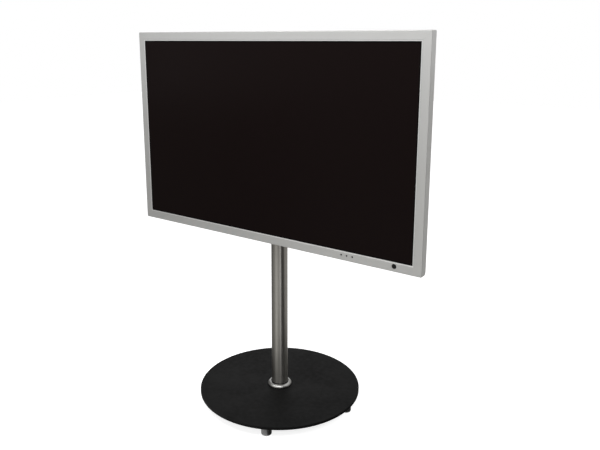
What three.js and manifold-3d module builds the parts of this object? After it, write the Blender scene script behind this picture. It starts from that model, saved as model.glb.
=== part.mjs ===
// A flat display in a silver frame on a column stand with a round base plate.
// Behind the display, a swivel bearing and a tilt bracket join it to the column.
// Millimetres, +Z up. The origin is on the floor under the column's axis, and the screen faces -Y.

import * as THREE from 'three';
import { mergeVertices } from 'three/addons/utils/BufferGeometryUtils.js';
import Module from 'manifold-3d';

// Clearances and facet counts shared by all pieces
const seat_gap = 0.3; // between faces that rest on each other
const fit_gap = 0.3; // on the radius, around a shank or plug in its hole
const cut_over = 2; // how far a cutter runs past the face it leaves by
const disc_sides = 80;
const tube_sides = 40;
const shaft_sides = 20;
const hole_sides = 12;
const hex_sides = 6;
const arc_steps = 4;

// Base plate
const base_diameter = 600;
const base_thickness = 10;
const base_bevel = 1.5;

// Levelling feet under the base plate
const foot_count = 5;
const first_foot_angle = -62.4; // degrees from +X, seen from above
const foot_inset = 28; // from the plate's rim to a foot's axis
const foot_diameter = 37;
const foot_height = 34; // from the floor to the plate's underside
const foot_edge_radius = 4.5;
const foot_top_bevel = 1;
const foot_stud_diameter = 10;
const foot_stud_length = 7.5;
const foot_stud_spare = 0.7; // hole depth beyond the stud
const foot_stud_bevel = 1;
const foot_pad_diameter = 22;
const foot_pad_height = 4.7;
const foot_pad_proud = 2;
const foot_pad_bevel = 0.6;
const foot_sides = 16;

// Column, its cover ring and the bolt that holds it
const column_diameter = 60;
const column_wall = 2.5;
const ring_diameter = 90;
const ring_height = 8;
const ring_foot_bevel = 2.2; // under the ring's widest line
const ring_rim_height = 2.8;
const ring_top_width = 2;
const ring_bulge_share = 0.55; // where the ring's curved top is fullest
const plug_height = 40;
const plug_bevel = 1.5;
const base_bolt_diameter = 16;
const base_bolt_flats = 24;
const base_bolt_head = 10;
const base_bolt_reach = 24; // how far the shank goes into the plug
const base_bolt_spare = 5; // plug hole depth beyond the shank
const base_washer_diameter = 50;
const base_washer_thickness = 3;

// Swivel bearing in the column's top
const housing_length = 60;
const housing_flange = 8;
const housing_bevel = 1;
const bush_diameter = 25;
const bush_length = 18;
const bush_flange_diameter = 32;
const bush_flange_thickness = 2;
const spindle_diameter = 20;
const spindle_head_diameter = 34;
const spindle_head_height = 6;
const spindle_bevel = 1;
const spindle_thread_diameter = 16;
const spindle_thread_over = 3; // thread left below the nut
const spindle_washer_diameter = 30;
const spindle_washer_thickness = 3;
const spindle_nut_flats = 24;
const spindle_nut_height = 13;
const thrust_washer_thickness = 3;
const stop_pin_diameter = 6;
const stop_pin_radius = 23.5; // from the column's axis to the pin's
const stop_groove_depth = 5;
const swivel_reach = 45; // degrees each way

// Yoke on the spindle, and the tilt pivot
const pivot_rise = 58; // from the column's top to the tilt axis
const yoke_inner_width = 84;
const yoke_plate = 6;
const yoke_bend_radius = 10;
const yoke_base_depth = 64;
const yoke_ear_radius = 20;
const friction_disc_diameter = 32;
const friction_disc_thickness = 2;
const tilt_bolt_diameter = 10;
const tilt_bolt_flats = 17;
const tilt_bolt_head = 6.4;
const tilt_bolt_over = 3; // thread left inside the nut
const tilt_nut_height = 8;
const lug_plate = 4;
const lug_boss_radius = 16;
const lug_half_height = 40;
const lug_foot_width = 24;

// Mounting plate. Square hole patterns come in whole steps, after the screen's width
const column_clearance = 9.7; // between the column and the plate
const plate_thickness = 4;
const hole_pitch_step = 100;
const hole_pitch_share = 0.35; // of the screen's width, before rounding down to a step
const plate_leg_width = 50;
const plate_leg_over = 22; // above and below the outer holes
const plate_web_height = 120;
const plate_web_slot_width = 70;
const plate_web_slot_height = 34;
const plate_web_slot_place = 110; // from the middle to a slot's middle
const plate_fillet = 16;
const plate_corner_radius = 8;
const plate_fold_depth = 14;
const plate_fold_thickness = 3;
const plate_screw_diameter = 8;
const plate_screw_head_diameter = 14;
const plate_screw_head_height = 5;
const plate_screw_length = 26;

// Display: the screen and the frame bars round it
const display_height = 990; // from the floor to the screen's middle and the tilt axis
const screen_width = 1148;
const screen_ratio_share = 9 / 16; // the picture's height over its width
const screen_border = 8.9; // black border above and below the picture
const bead_width = 3;
const bead_depth = 1.2;
const bead_back_depth = 0.7;
const side_bar_width = 28;
const top_bar_width = 28;
const bottom_bar_width = 28.5;
const frame_depth = 28;
const frame_wall = 2;
const frame_front_radius = 2.5;
const frame_inner_bevel = 0.6;
const frame_return_depth = 8;
const frame_rear_lip = 4;
const frame_lower_radius = 14; // rounding of the frame's lower back edge
const key_leg_length = 45;
const key_leg_width = 12;
const key_thickness = 6;

// Display: what lies behind the frame
const glass_thickness = 3;
const glass_tuck = 2; // how far the glass reaches under the bead
const panel_thickness = 12;
const panel_corner_radius = 3;
const chassis_thickness = 1.5;
const chassis_inset = 5;
const chassis_rib_width = 44;
const chassis_rib_height = 3;
const chassis_rib_over = 60; // beyond the outer holes
const standoff_diameter = 16;
const cover_depth = 14.7;
const cover_wall = 2;
const cover_inset = 3; // from the frame's edge to the cover's
const cover_border = 26; // flat border round the raised back
const cover_slope = 40; // how far the raised back's sides lean in
const cover_edge_radius = 6;
const cover_foot_radius = 24;
const cover_top_radius = 34;
const cover_inner_shift = 1; // the inner slope stands this much further in
const boss_diameter = 26;
const boss_height = 3;
const vent_width = 3.5;
const vent_height = 30;
const vent_pitch = 14;
const vent_columns = 15; // slots in each group
const vent_drop = 105; // from the display's top to the slots' middle
const vent_group_start = 70; // from the middle to the first slot

// Connector bay in the back cover
const bay_width = 190;
const bay_place_share = 0.57; // of the display's half width, from the screen's middle
const bay_height = 167.5; // above the display's lower edge
const bay_floor = 2.2; // skin left between the bay and the inside
const bay_wall = 2.5;
const inlet_width = 24;
const inlet_height = 14;
const inlet_shift = 65; // from the bay's middle
const inlet_mouth_width = 14.4;
const inlet_mouth_depth = 11;
const inlet_mouth_share = 0.84; // of the inlet's own thickness
const inlet_pin_diameter = 2.4;
const inlet_pin_pitch = 8;
const socket_block_width = 104;
const socket_block_height = 13;
const socket_shift = -30; // from the bay's middle
const socket_count = 4;
const socket_pitch = 24;
const socket_mouth_width = 15;
const socket_mouth_height = 5.6;
const socket_mouth_depth = 10;
const socket_tongue_width = 12;
const socket_tongue_thickness = 2;
const main_board_height = 150;
const main_board_rise = 3; // above the connectors
const power_board_width = 150;
const power_board_height = 190;
const power_board_place = 95;
const board_thickness = 1.6;
const board_post_height = 4;
const board_post_diameter = 8;
const board_post_inset = 10;
const board_part_height = 7;
const board_part_width_share = 0.6; // of a part's own strip of the board
const board_part_length_shares = [0.35, 0.6]; // of the board's height, in turn
const main_board_parts = 2;
const power_board_parts = 3;

// Controls in the bottom bar
const control_rise = 18; // above the display's lower edge
const button_inset = 92.5; // from the display's side to the button's middle
const button_diameter = 15.6;
const button_crown = 0.6;
const button_crown_share = 0.75; // flat part of the crown
const button_flange_diameter = 18;
const button_flange_height = 15; // across the flange's two flats
const button_flange_thickness = 1.5;
const button_stem_diameter = 5;
const button_stem_length = 4.2;
const button_travel = 1.5;
const switch_width = 8;
const switch_height = 4;
const switch_plunger_diameter = 3.6;
const switch_plunger_length = 0.8;
const switch_board_width = 30;
const switch_board_height = 15;
const switch_board_thickness = 1.6;
const switch_post_diameter = 4;
const switch_post_place = 12;
const lens_gap = 171; // from the button to the middle lens
const lens_pitch = 21;
const lens_diameter = 5.6;
const lens_recess = 0.2;
const light_guide_over = 7;
const light_guide_height = 7;
const light_guide_thickness = 3;

// Heights worked out from the sizes above
const base_top = foot_height + base_thickness;
const column_top = display_height - pivot_rise;
const column_radius = column_diameter / 2;
const column_foot = base_top + seat_gap;
const plug_radius = column_radius - column_wall - fit_gap;
const housing_foot = column_top - housing_length;
const flange_foot = column_top + seat_gap;
const flange_top = flange_foot + housing_flange;
const yoke_foot = flange_top + seat_gap + thrust_washer_thickness + seat_gap;
const yoke_floor = yoke_foot + yoke_plate;
const groove_half = stop_pin_diameter / 2 + fit_gap;

// Depths of the display, counted back from its front face
const glass_front = bead_depth + seat_gap;
const panel_front = glass_front + glass_thickness + seat_gap;
const chassis_front = panel_front + panel_thickness + seat_gap;
const chassis_back = chassis_front + chassis_thickness;
const cover_front = frame_depth + seat_gap;
const cover_back = cover_front + cover_depth;
const cover_inside = cover_back - cover_wall;
const display_depth = cover_back + boss_height;
const plate_back_y = -(column_radius + column_clearance);
const plate_front_y = plate_back_y - plate_thickness;
const display_front_y = plate_front_y - seat_gap - display_depth;

// Half sizes and edges of the display, from the screen's middle
const hole_pitch = hole_pitch_step * Math.floor((screen_width * hole_pitch_share) / hole_pitch_step);
const screen_half_width = screen_width / 2;
const screen_half_height = (screen_width * screen_ratio_share) / 2 + screen_border;
const opening_half_width = screen_half_width + bead_width;
const opening_half_height = screen_half_height + bead_width;
const display_half_width = opening_half_width + side_bar_width;
const display_top = opening_half_height + top_bar_width;
const display_bottom = -opening_half_height - bottom_bar_width;
const control_z = display_bottom + control_rise;
const button_place = display_half_width - button_inset;
const lens_place = button_place - lens_gap;
const bay_centre = -display_half_width * bay_place_share;
const bay_top = display_bottom + bay_height;
const bay_floor_depth = cover_front + bay_floor;
const inlet_place = bay_centre + inlet_shift;
const socket_place = bay_centre + socket_shift;
const vent_middle = display_top - vent_drop;
const main_board_width = bay_width - 2 * board_post_inset;

const wasm = await Module();
wasm.setup();

// Turns a geometry into a clean closed skin: shared corners, no empty faces, faces outwards
function tidied(geometry) {
  const bare = new THREE.BufferGeometry();
  bare.setAttribute('position', geometry.getAttribute('position'));
  bare.setIndex(geometry.getIndex());
  const merged = mergeVertices(bare);
  const place = merged.getAttribute('position');
  const corners = merged.getIndex().array;
  const kept = [];
  let volume = 0;
  const a = new THREE.Vector3();
  const b = new THREE.Vector3();
  const c = new THREE.Vector3();
  for (let i = 0; i < corners.length; i += 3) {
    const [p, q, r] = [corners[i], corners[i + 1], corners[i + 2]];
    if (p === q || q === r || r === p) continue;
    kept.push(p, q, r);
    a.fromBufferAttribute(place, p);
    b.fromBufferAttribute(place, q);
    c.fromBufferAttribute(place, r);
    volume += a.dot(b.cross(c));
  }
  if (volume < 0) kept.reverse();
  merged.setIndex(kept);
  return merged;
}

function solidOf(geometry) {
  const clean = tidied(geometry);
  return new wasm.Manifold(new wasm.Mesh({
    numProp: 3,
    vertProperties: new Float32Array(clean.getAttribute('position').array),
    triVerts: new Uint32Array(clean.getIndex().array),
  }));
}

function geometryOf(whole) {
  const mesh = whole.getMesh();
  const geometry = new THREE.BufferGeometry();
  geometry.setAttribute('position', new THREE.BufferAttribute(new Float32Array(mesh.vertProperties), 3));
  geometry.setIndex(new THREE.BufferAttribute(new Uint32Array(mesh.triVerts), 1));
  return geometry;
}

// Joins and cuts: base plus the added geometries, less the removed ones
function combine(base, added, removed) {
  let whole = solidOf(base);
  for (const geometry of added) whole = whole.add(solidOf(geometry));
  for (const geometry of removed) whole = whole.subtract(solidOf(geometry));
  return geometryOf(whole);
}

// The part that two geometries share
function shared(first, second) {
  return geometryOf(solidOf(first).intersect(solidOf(second)));
}

// A solid of revolution round the Z axis, from [radius, height] points
function turned(points, sides) {
  const outline = [...points, points[0]].map(([radius, height]) => new THREE.Vector2(radius, height));
  return new THREE.LatheGeometry(outline, sides).rotateX(Math.PI / 2);
}

// The same round an axis along X or Y through the origin; heights count along that axis
function turnedAlongX(points, sides) {
  return turned(points, sides).rotateY(Math.PI / 2);
}

function turnedAlongY(points, sides) {
  return turned(points, sides).rotateX(-Math.PI / 2);
}

// A plain ring or rod between two heights
function tubeProfile(inner, outer, low, high) {
  return [[inner, low], [outer, low], [outer, high], [inner, high]];
}

// A bar whose section is drawn in X and Z, from one depth to another along Y
function slabAlongY(shape, front, back) {
  const slab = new THREE.ExtrudeGeometry(shape, {
    depth: back - front,
    bevelEnabled: false,
    curveSegments: arc_steps,
  });
  return slab.rotateX(Math.PI / 2).translate(0, back, 0);
}

// A bar whose section is drawn in Y and Z, from one place to another along X
function slabAlongX(shape, left, right) {
  const slab = new THREE.ExtrudeGeometry(shape, {
    depth: right - left,
    bevelEnabled: false,
    curveSegments: arc_steps,
  });
  const turn = new THREE.Matrix4().makeBasis(
    new THREE.Vector3(0, 1, 0),
    new THREE.Vector3(0, 0, 1),
    new THREE.Vector3(1, 0, 0),
  );
  return slab.applyMatrix4(turn).translate(left, 0, 0);
}

function boxBetween(x0, x1, y0, y1, z0, z1) {
  const box = new THREE.BoxGeometry(x1 - x0, y1 - y0, z1 - z0);
  return box.translate((x0 + x1) / 2, (y0 + y1) / 2, (z0 + z1) / 2);
}

// An outline through straight points
function outlineOf(points) {
  return new THREE.Shape(points.map(([across, up]) => new THREE.Vector2(across, up)));
}

// Points of an arc, ends included, between two angles in degrees
function arcPoints(across, up, radius, from, to, steps = arc_steps) {
  const points = [];
  for (let i = 0; i <= steps; i += 1) {
    const angle = THREE.MathUtils.degToRad(from + ((to - from) * i) / steps);
    points.push([across + radius * Math.cos(angle), up + radius * Math.sin(angle)]);
  }
  return points;
}

// The corner points of a rectangle with rounded corners
function roundedRectangle(x0, x1, z0, z1, radius, steps = arc_steps) {
  return [
    ...arcPoints(x1 - radius, z1 - radius, radius, 0, 90, steps),
    ...arcPoints(x0 + radius, z1 - radius, radius, 90, 180, steps),
    ...arcPoints(x0 + radius, z0 + radius, radius, 180, 270, steps),
    ...arcPoints(x1 - radius, z0 + radius, radius, 270, 360, steps),
  ];
}

// A skin over equal rings of points. Open ends get the flat cap.
// With no cap, the last ring meets the first.
function skinOver(rings, cap) {
  const size = rings[0].length;
  const place = rings.flat().flatMap((point) => [point.x, point.y, point.z]);
  const corners = [];
  const runs = cap ? rings.length - 1 : rings.length;
  for (let ring = 0; ring < runs; ring += 1) {
    const here = ring * size;
    const next = ((ring + 1) % rings.length) * size;
    for (let i = 0; i < size; i += 1) {
      const j = (i + 1) % size;
      corners.push(here + i, here + j, next + j, here + i, next + j, next + i);
    }
  }
  if (cap) {
    const last = (rings.length - 1) * size;
    for (const [p, q, r] of THREE.ShapeUtils.triangulateShape(cap, [])) {
      corners.push(r, q, p, last + p, last + q, last + r);
    }
  }
  const geometry = new THREE.BufferGeometry();
  geometry.setAttribute('position', new THREE.Float32BufferAttribute(place, 3));
  geometry.setIndex(corners);
  return geometry;
}

function hexPrism(flats, low, high) {
  const radius = flats / Math.sqrt(3);
  const prism = new THREE.CylinderGeometry(radius, radius, high - low, hex_sides);
  return prism.rotateX(Math.PI / 2).translate(0, 0, (low + high) / 2);
}

function rod(diameter, low, high, sides = shaft_sides) {
  const length = high - low;
  const cylinder = new THREE.CylinderGeometry(diameter / 2, diameter / 2, length, sides);
  return cylinder.rotateX(Math.PI / 2).translate(0, 0, (low + high) / 2);
}

// Cutter for a hole round a shank, past both faces of what it goes through
function drill(shank_diameter, low, high, sides = hole_sides) {
  return rod(shank_diameter + 2 * fit_gap, low - cut_over, high + cut_over, sides);
}

const finishes = {
  black_steel: [0x1c1c1d, 0.55, 0.3],
  brushed_steel: [0xa8a8a2, 0.35, 1],
  polished_steel: [0xd6d6d2, 0.12, 1],
  zinc_steel: [0x9a9c9c, 0.4, 1],
  silver_frame: [0xb4b4b0, 0.45, 0.7],
  bright_bead: [0xd8d6d2, 0.25, 0.9],
  screen_black: [0x120f0e, 0.2, 0],
  black_plastic: [0x1d1d1e, 0.6, 0],
  rubber: [0x151515, 0.9, 0],
  nylon: [0xd9d5c8, 0.6, 0],
  bronze: [0x9c7443, 0.4, 1],
  board_green: [0x23563a, 0.6, 0],
};

function piece(name, finish, geometry) {
  const [color, roughness, metalness] = finishes[finish];
  const material = new THREE.MeshStandardMaterial({ color, roughness, metalness, flatShading: true });
  const mesh = new THREE.Mesh(tidied(geometry), material);
  mesh.name = name;
  return mesh;
}

// Where each foot's axis stands
function footPlaces() {
  const reach = base_diameter / 2 - foot_inset;
  return Array.from({ length: foot_count }, (_, i) => {
    const angle = THREE.MathUtils.degToRad(first_foot_angle + (360 / foot_count) * i);
    return [reach * Math.cos(angle), reach * Math.sin(angle)];
  });
}

function basePlate() {
  const rim = base_diameter / 2;
  const bore = base_bolt_diameter / 2 + fit_gap;
  const plate = turned([
    [bore, foot_height],
    [rim - base_bevel, foot_height],
    [rim, foot_height + base_bevel],
    [rim, base_top - base_bevel],
    [rim - base_bevel, base_top],
    [bore, base_top],
  ], disc_sides);
  const depth = foot_stud_length + foot_stud_spare;
  const holes = footPlaces().map(([x, y]) => rod(
    foot_stud_diameter + 2 * fit_gap,
    foot_height - cut_over,
    foot_height + depth,
    hole_sides,
  ).translate(x, y, 0));
  return piece('base_plate', 'black_steel', combine(plate, [], holes));
}

// A turned steel foot with its threaded stud; a rubber pad sits in its underside
function foot(number, [x, y]) {
  const radius = foot_diameter / 2;
  const recess = foot_pad_diameter / 2 + fit_gap;
  const ceiling = foot_pad_height + seat_gap;
  const top = foot_height - seat_gap;
  const stud = foot_stud_diameter / 2;
  const stud_top = top + foot_stud_length;
  const body = turned([
    [0, ceiling],
    [recess, ceiling],
    [recess, foot_pad_proud],
    ...arcPoints(radius - foot_edge_radius, foot_pad_proud + foot_edge_radius, foot_edge_radius, 270, 360),
    [radius, top - foot_top_bevel],
    [radius - foot_top_bevel, top],
    [stud, top],
    [stud, stud_top - foot_stud_bevel],
    [stud - foot_stud_bevel, stud_top],
    [0, stud_top],
  ], foot_sides);
  return piece(`foot_${number}`, 'zinc_steel', body.translate(x, y, 0));
}

function footPad(number, [x, y]) {
  const radius = foot_pad_diameter / 2;
  const pad = turned([
    [0, 0],
    [radius - foot_pad_bevel, 0],
    [radius, foot_pad_bevel],
    [radius, foot_pad_height],
    [0, foot_pad_height],
  ], foot_sides);
  return piece(`foot_pad_${number}`, 'rubber', pad.translate(x, y, 0));
}

function column() {
  const tube = turned(
    tubeProfile(column_radius - column_wall, column_radius, column_foot, column_top),
    tube_sides,
  );
  return piece('column', 'brushed_steel', tube);
}

// A turned cover ring with a full, rounded top, round the column's foot
function baseRing() {
  const inner = column_radius + fit_gap;
  const outer = ring_diameter / 2;
  const shoulder = inner + ring_top_width;
  const top = column_foot + ring_height;
  const bow = new THREE.QuadraticBezierCurve(
    new THREE.Vector2(outer, column_foot + ring_rim_height),
    new THREE.Vector2(shoulder + (outer - shoulder) * ring_bulge_share, top),
    new THREE.Vector2(shoulder, top),
  );
  const ring = turned([
    [inner, column_foot],
    [outer - ring_foot_bevel, column_foot],
    ...bow.getPoints(arc_steps).map((point) => [point.x, point.y]),
    [inner, top],
  ], tube_sides);
  return piece('base_ring', 'polished_steel', ring);
}

// The threaded plug fixed in the column's foot
function columnPlug() {
  const hole = base_bolt_diameter / 2 + fit_gap;
  const top = column_foot + plug_height;
  const hole_top = base_top + base_bolt_reach + base_bolt_spare;
  const plug = turned([
    [hole, column_foot],
    [plug_radius, column_foot],
    [plug_radius, top - plug_bevel],
    [plug_radius - plug_bevel, top],
    [0, top],
    [0, hole_top],
    [hole, hole_top],
  ], tube_sides);
  return piece('column_plug', 'zinc_steel', plug);
}

function baseBolt() {
  const head_top = foot_height - seat_gap - base_washer_thickness - seat_gap;
  const head = hexPrism(base_bolt_flats, head_top - base_bolt_head, head_top);
  const shank = rod(base_bolt_diameter, head_top - base_bolt_head / 2, base_top + base_bolt_reach);
  return piece('base_bolt', 'zinc_steel', combine(head, [shank], []));
}

function baseWasher() {
  const top = foot_height - seat_gap;
  const hole = base_bolt_diameter / 2 + fit_gap;
  const profile = tubeProfile(hole, base_washer_diameter / 2, top - base_washer_thickness, top);
  return piece('base_washer', 'zinc_steel', turned(profile, tube_sides));
}

// The bearing housing plugs the column's top. An arc groove in its flange takes the stop pin
function bearingHousing() {
  const bore = bush_diameter / 2 + fit_gap;
  const pocket = bush_flange_diameter / 2 + fit_gap;
  const pocket_floor = flange_top - bush_flange_thickness - seat_gap;
  const body = turned([
    [bore, housing_foot],
    [plug_radius, housing_foot],
    [plug_radius, flange_foot],
    [column_radius, flange_foot],
    [column_radius, flange_top - housing_bevel],
    [column_radius - housing_bevel, flange_top],
    [pocket, flange_top],
    [pocket, pocket_floor],
    [bore, pocket_floor],
  ], tube_sides);
  const past = THREE.MathUtils.radToDeg(groove_half / stop_pin_radius);
  const from = 90 - swivel_reach - past;
  const to = 90 + swivel_reach + past;
  const groove_outline = outlineOf([
    ...arcPoints(0, 0, stop_pin_radius + groove_half, from, to, arc_steps * 2),
    ...arcPoints(0, 0, stop_pin_radius - groove_half, to, from, arc_steps * 2),
  ]);
  const groove = new THREE.ExtrudeGeometry(groove_outline, {
    depth: stop_groove_depth + cut_over,
    bevelEnabled: false,
  }).translate(0, 0, flange_top - stop_groove_depth);
  return piece('bearing_housing', 'zinc_steel', combine(body, [], [groove]));
}

// A flanged bush: its sleeve goes one way from the flange
function bush(name, flange_low, sleeve_end) {
  const inner = spindle_diameter / 2 + fit_gap;
  const outer = bush_diameter / 2;
  const rim = bush_flange_diameter / 2;
  const flange_high = flange_low + bush_flange_thickness;
  const profile = sleeve_end > flange_high
    ? [[inner, flange_low], [rim, flange_low], [rim, flange_high], [outer, flange_high],
      [outer, sleeve_end], [inner, sleeve_end]]
    : [[inner, sleeve_end], [outer, sleeve_end], [outer, flange_low], [rim, flange_low],
      [rim, flange_high], [inner, flange_high]];
  return piece(name, 'bronze', turned(profile, shaft_sides));
}

function upperBush() {
  const flange_low = flange_top - bush_flange_thickness;
  return bush('upper_bush', flange_low, flange_low - bush_length);
}

function lowerBush() {
  const flange_low = housing_foot - seat_gap - bush_flange_thickness;
  return bush('lower_bush', flange_low, housing_foot + bush_length);
}

function thrustWasher() {
  const low = flange_top + seat_gap;
  const inner = spindle_diameter / 2 + fit_gap;
  const outer = stop_pin_radius - groove_half - fit_gap;
  const profile = tubeProfile(inner, outer, low, low + thrust_washer_thickness);
  return piece('thrust_washer', 'nylon', turned(profile, tube_sides));
}

const washer_top = housing_foot - seat_gap - bush_flange_thickness - seat_gap;
const nut_top = washer_top - spindle_washer_thickness - seat_gap;
const nut_foot = nut_top - spindle_nut_height;

// The shouldered spindle hangs by its head in the yoke and turns in the bushes
function swivelSpindle() {
  const head_foot = yoke_floor + seat_gap;
  const head_top = head_foot + spindle_head_height;
  const head = spindle_head_diameter / 2;
  const shaft = spindle_diameter / 2;
  const thread = spindle_thread_diameter / 2;
  const end = nut_foot - spindle_thread_over;
  const shoulder = washer_top + seat_gap;
  const spindle = turned([
    [0, end],
    [thread - spindle_bevel, end],
    [thread, end + spindle_bevel],
    [thread, shoulder],
    [shaft, shoulder],
    [shaft, head_foot],
    [head, head_foot],
    [head, head_top - spindle_bevel],
    [head - spindle_bevel, head_top],
    [0, head_top],
  ], shaft_sides);
  return piece('swivel_spindle', 'zinc_steel', spindle);
}

function spindleWasher() {
  const hole = spindle_thread_diameter / 2 + fit_gap;
  const profile = tubeProfile(
    hole,
    spindle_washer_diameter / 2,
    washer_top - spindle_washer_thickness,
    washer_top,
  );
  return piece('spindle_washer', 'zinc_steel', turned(profile, shaft_sides));
}

function spindleNut() {
  const hole = drill(spindle_thread_diameter, nut_foot, nut_top);
  const nut = combine(hexPrism(spindle_nut_flats, nut_foot, nut_top), [], [hole]);
  return piece('spindle_nut', 'zinc_steel', nut);
}

function stopPin() {
  const pin = rod(stop_pin_diameter, flange_top - stop_groove_depth + seat_gap, yoke_floor, hole_sides);
  return piece('stop_pin', 'zinc_steel', pin.translate(0, stop_pin_radius, 0));
}

// A folded steel fork: a floor on the spindle and two ears that taper to the tilt pivot
function yoke() {
  const half = yoke_inner_width / 2 + yoke_plate;
  const bend = yoke_bend_radius;
  const inner_bend = yoke_bend_radius - yoke_plate;
  const top = display_height + yoke_ear_radius;
  const folded = outlineOf([
    [-half, top],
    ...arcPoints(bend - half, yoke_foot + bend, bend, 180, 270),
    ...arcPoints(half - bend, yoke_foot + bend, bend, 270, 360),
    [half, top],
    [half - yoke_plate, top],
    ...arcPoints(half - bend, yoke_foot + bend, inner_bend, 360, 270),
    ...arcPoints(bend - half, yoke_foot + bend, inner_bend, 270, 180),
    [yoke_plate - half, top],
  ]);
  const side = outlineOf([
    [-yoke_base_depth / 2, yoke_foot - cut_over],
    [yoke_base_depth / 2, yoke_foot - cut_over],
    [yoke_base_depth / 2, yoke_floor],
    ...arcPoints(0, display_height, yoke_ear_radius, 0, 180, arc_steps * 2),
    [-yoke_base_depth / 2, yoke_floor],
  ]);
  const strip = slabAlongY(folded, -yoke_base_depth, yoke_base_depth);
  const fork = shared(strip, slabAlongX(side, -half - cut_over, half + cut_over));
  const spindle_hole = drill(spindle_diameter, yoke_foot, yoke_floor, shaft_sides);
  const pin_hole = drill(stop_pin_diameter, yoke_foot, yoke_floor).translate(0, stop_pin_radius, 0);
  const pivot_hole = drill(tilt_bolt_diameter, -half, half)
    .rotateY(Math.PI / 2).translate(0, 0, display_height);
  return piece('yoke', 'black_steel', combine(fork, [], [spindle_hole, pin_hole, pivot_hole]));
}

// Where the tilt pivot's pieces stand along X, from the yoke's ear inwards
const ear_inside = yoke_inner_width / 2;
const ear_outside = ear_inside + yoke_plate;
const disc_inside = ear_inside - seat_gap - friction_disc_thickness;
const lug_outside = disc_inside - seat_gap;
const lug_inside = lug_outside - lug_plate;
const tilt_nut_outside = lug_inside - seat_gap;
const tilt_nut_inside = tilt_nut_outside - tilt_nut_height;

// Builds a piece of the right-hand pivot, and its mirror image on the left
function pivotPiece(name, side, finish, geometry) {
  const turn = side > 0 ? 0 : Math.PI;
  const label = side > 0 ? 'right' : 'left';
  return piece(`${name}_${label}`, finish, geometry.rotateZ(turn).translate(0, 0, display_height));
}

function frictionDisc(side) {
  const hole = tilt_bolt_diameter / 2 + fit_gap;
  const profile = tubeProfile(hole, friction_disc_diameter / 2, disc_inside, ear_inside - seat_gap);
  return pivotPiece('friction_disc', side, 'nylon', turnedAlongX(profile, shaft_sides));
}

function tiltBolt(side) {
  const head_foot = ear_outside + seat_gap;
  const head_end = head_foot + tilt_bolt_head;
  const head = hexPrism(tilt_bolt_flats, head_foot, head_end).rotateY(Math.PI / 2);
  const shank = rod(tilt_bolt_diameter, tilt_nut_inside - tilt_bolt_over, head_end - tilt_bolt_head / 2)
    .rotateY(Math.PI / 2);
  return pivotPiece('tilt_bolt', side, 'zinc_steel', combine(head, [shank], []));
}

function tiltNut(side) {
  const hole = drill(tilt_bolt_diameter, tilt_nut_inside, tilt_nut_outside).rotateY(Math.PI / 2);
  const nut = hexPrism(tilt_bolt_flats, tilt_nut_inside, tilt_nut_outside).rotateY(Math.PI / 2);
  return pivotPiece('tilt_nut', side, 'zinc_steel', combine(nut, [], [hole]));
}

// A welded lug: a tapering cheek on the pivot, with a folded foot on the mounting plate
function tiltLug(side) {
  const foot_y = plate_back_y + seat_gap;
  const cheek = outlineOf([
    [foot_y, -lug_half_height],
    ...arcPoints(0, 0, lug_boss_radius, -90, 90, arc_steps * 2),
    [foot_y, lug_half_height],
  ]);
  const foot_plate = boxBetween(
    lug_inside - lug_foot_width,
    lug_outside,
    foot_y,
    foot_y + lug_plate,
    -lug_half_height,
    lug_half_height,
  );
  const hole = drill(tilt_bolt_diameter, lug_inside, lug_outside).rotateY(Math.PI / 2);
  const lug = combine(slabAlongX(cheek, lug_inside, lug_outside), [foot_plate], [hole]);
  const label = side > 0 ? 'right' : 'left';
  const handed = side > 0 ? lug : lug.scale(-1, 1, 1);
  return piece(`tilt_lug_${label}`, 'black_steel', handed.translate(0, 0, display_height));
}

// The four fixing points behind the display, with their names
function fixingPoints() {
  const points = [];
  for (const [level, up] of [['upper', 1], ['lower', -1]]) {
    for (const [hand, across] of [['left', -1], ['right', 1]]) {
      points.push({ label: `${level}_${hand}`, x: (across * hole_pitch) / 2, z: (up * hole_pitch) / 2 });
    }
  }
  return points;
}

// An H of flat steel with folded outer edges: two legs on the hole pattern and a web between them
function mountPlate() {
  const leg_in = (hole_pitch - plate_leg_width) / 2;
  const leg_out = (hole_pitch + plate_leg_width) / 2;
  const top = hole_pitch / 2 + plate_leg_over;
  const web = plate_web_height / 2;
  const corner = plate_corner_radius;
  const fillet = plate_fillet;
  const quarter = [
    ...arcPoints(leg_in - fillet, web + fillet, fillet, 270, 360),
    ...arcPoints(leg_in + corner, top - corner, corner, 180, 90),
    ...arcPoints(leg_out - corner, top - corner, corner, 90, 0),
  ];
  const turnedBack = [...quarter].reverse();
  const outline = outlineOf([
    ...quarter,
    ...turnedBack.map(([x, z]) => [x, -z]),
    ...quarter.map(([x, z]) => [-x, -z]),
    ...turnedBack.map(([x, z]) => [-x, z]),
  ]);
  for (const side of [-1, 1]) {
    const middle = side * plate_web_slot_place;
    outline.holes.push(outlineOf(roundedRectangle(
      middle - plate_web_slot_width / 2,
      middle + plate_web_slot_width / 2,
      -plate_web_slot_height / 2,
      plate_web_slot_height / 2,
      plate_web_slot_height / 2,
    )));
  }
  const folds = [-1, 1].map((side) => {
    const edge = side * leg_out;
    const inner = edge - side * plate_fold_thickness;
    return boxBetween(
      Math.min(edge, inner),
      Math.max(edge, inner),
      plate_front_y,
      plate_back_y + plate_fold_depth,
      corner - top,
      top - corner,
    );
  });
  const holes = fixingPoints().map(({ x, z }) => drill(plate_screw_diameter, plate_front_y, plate_back_y)
    .rotateX(-Math.PI / 2).translate(x, 0, z));
  const plate = combine(slabAlongY(outline, plate_front_y, plate_back_y), folds, holes);
  return piece('mount_plate', 'black_steel', plate.translate(0, 0, display_height));
}

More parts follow.
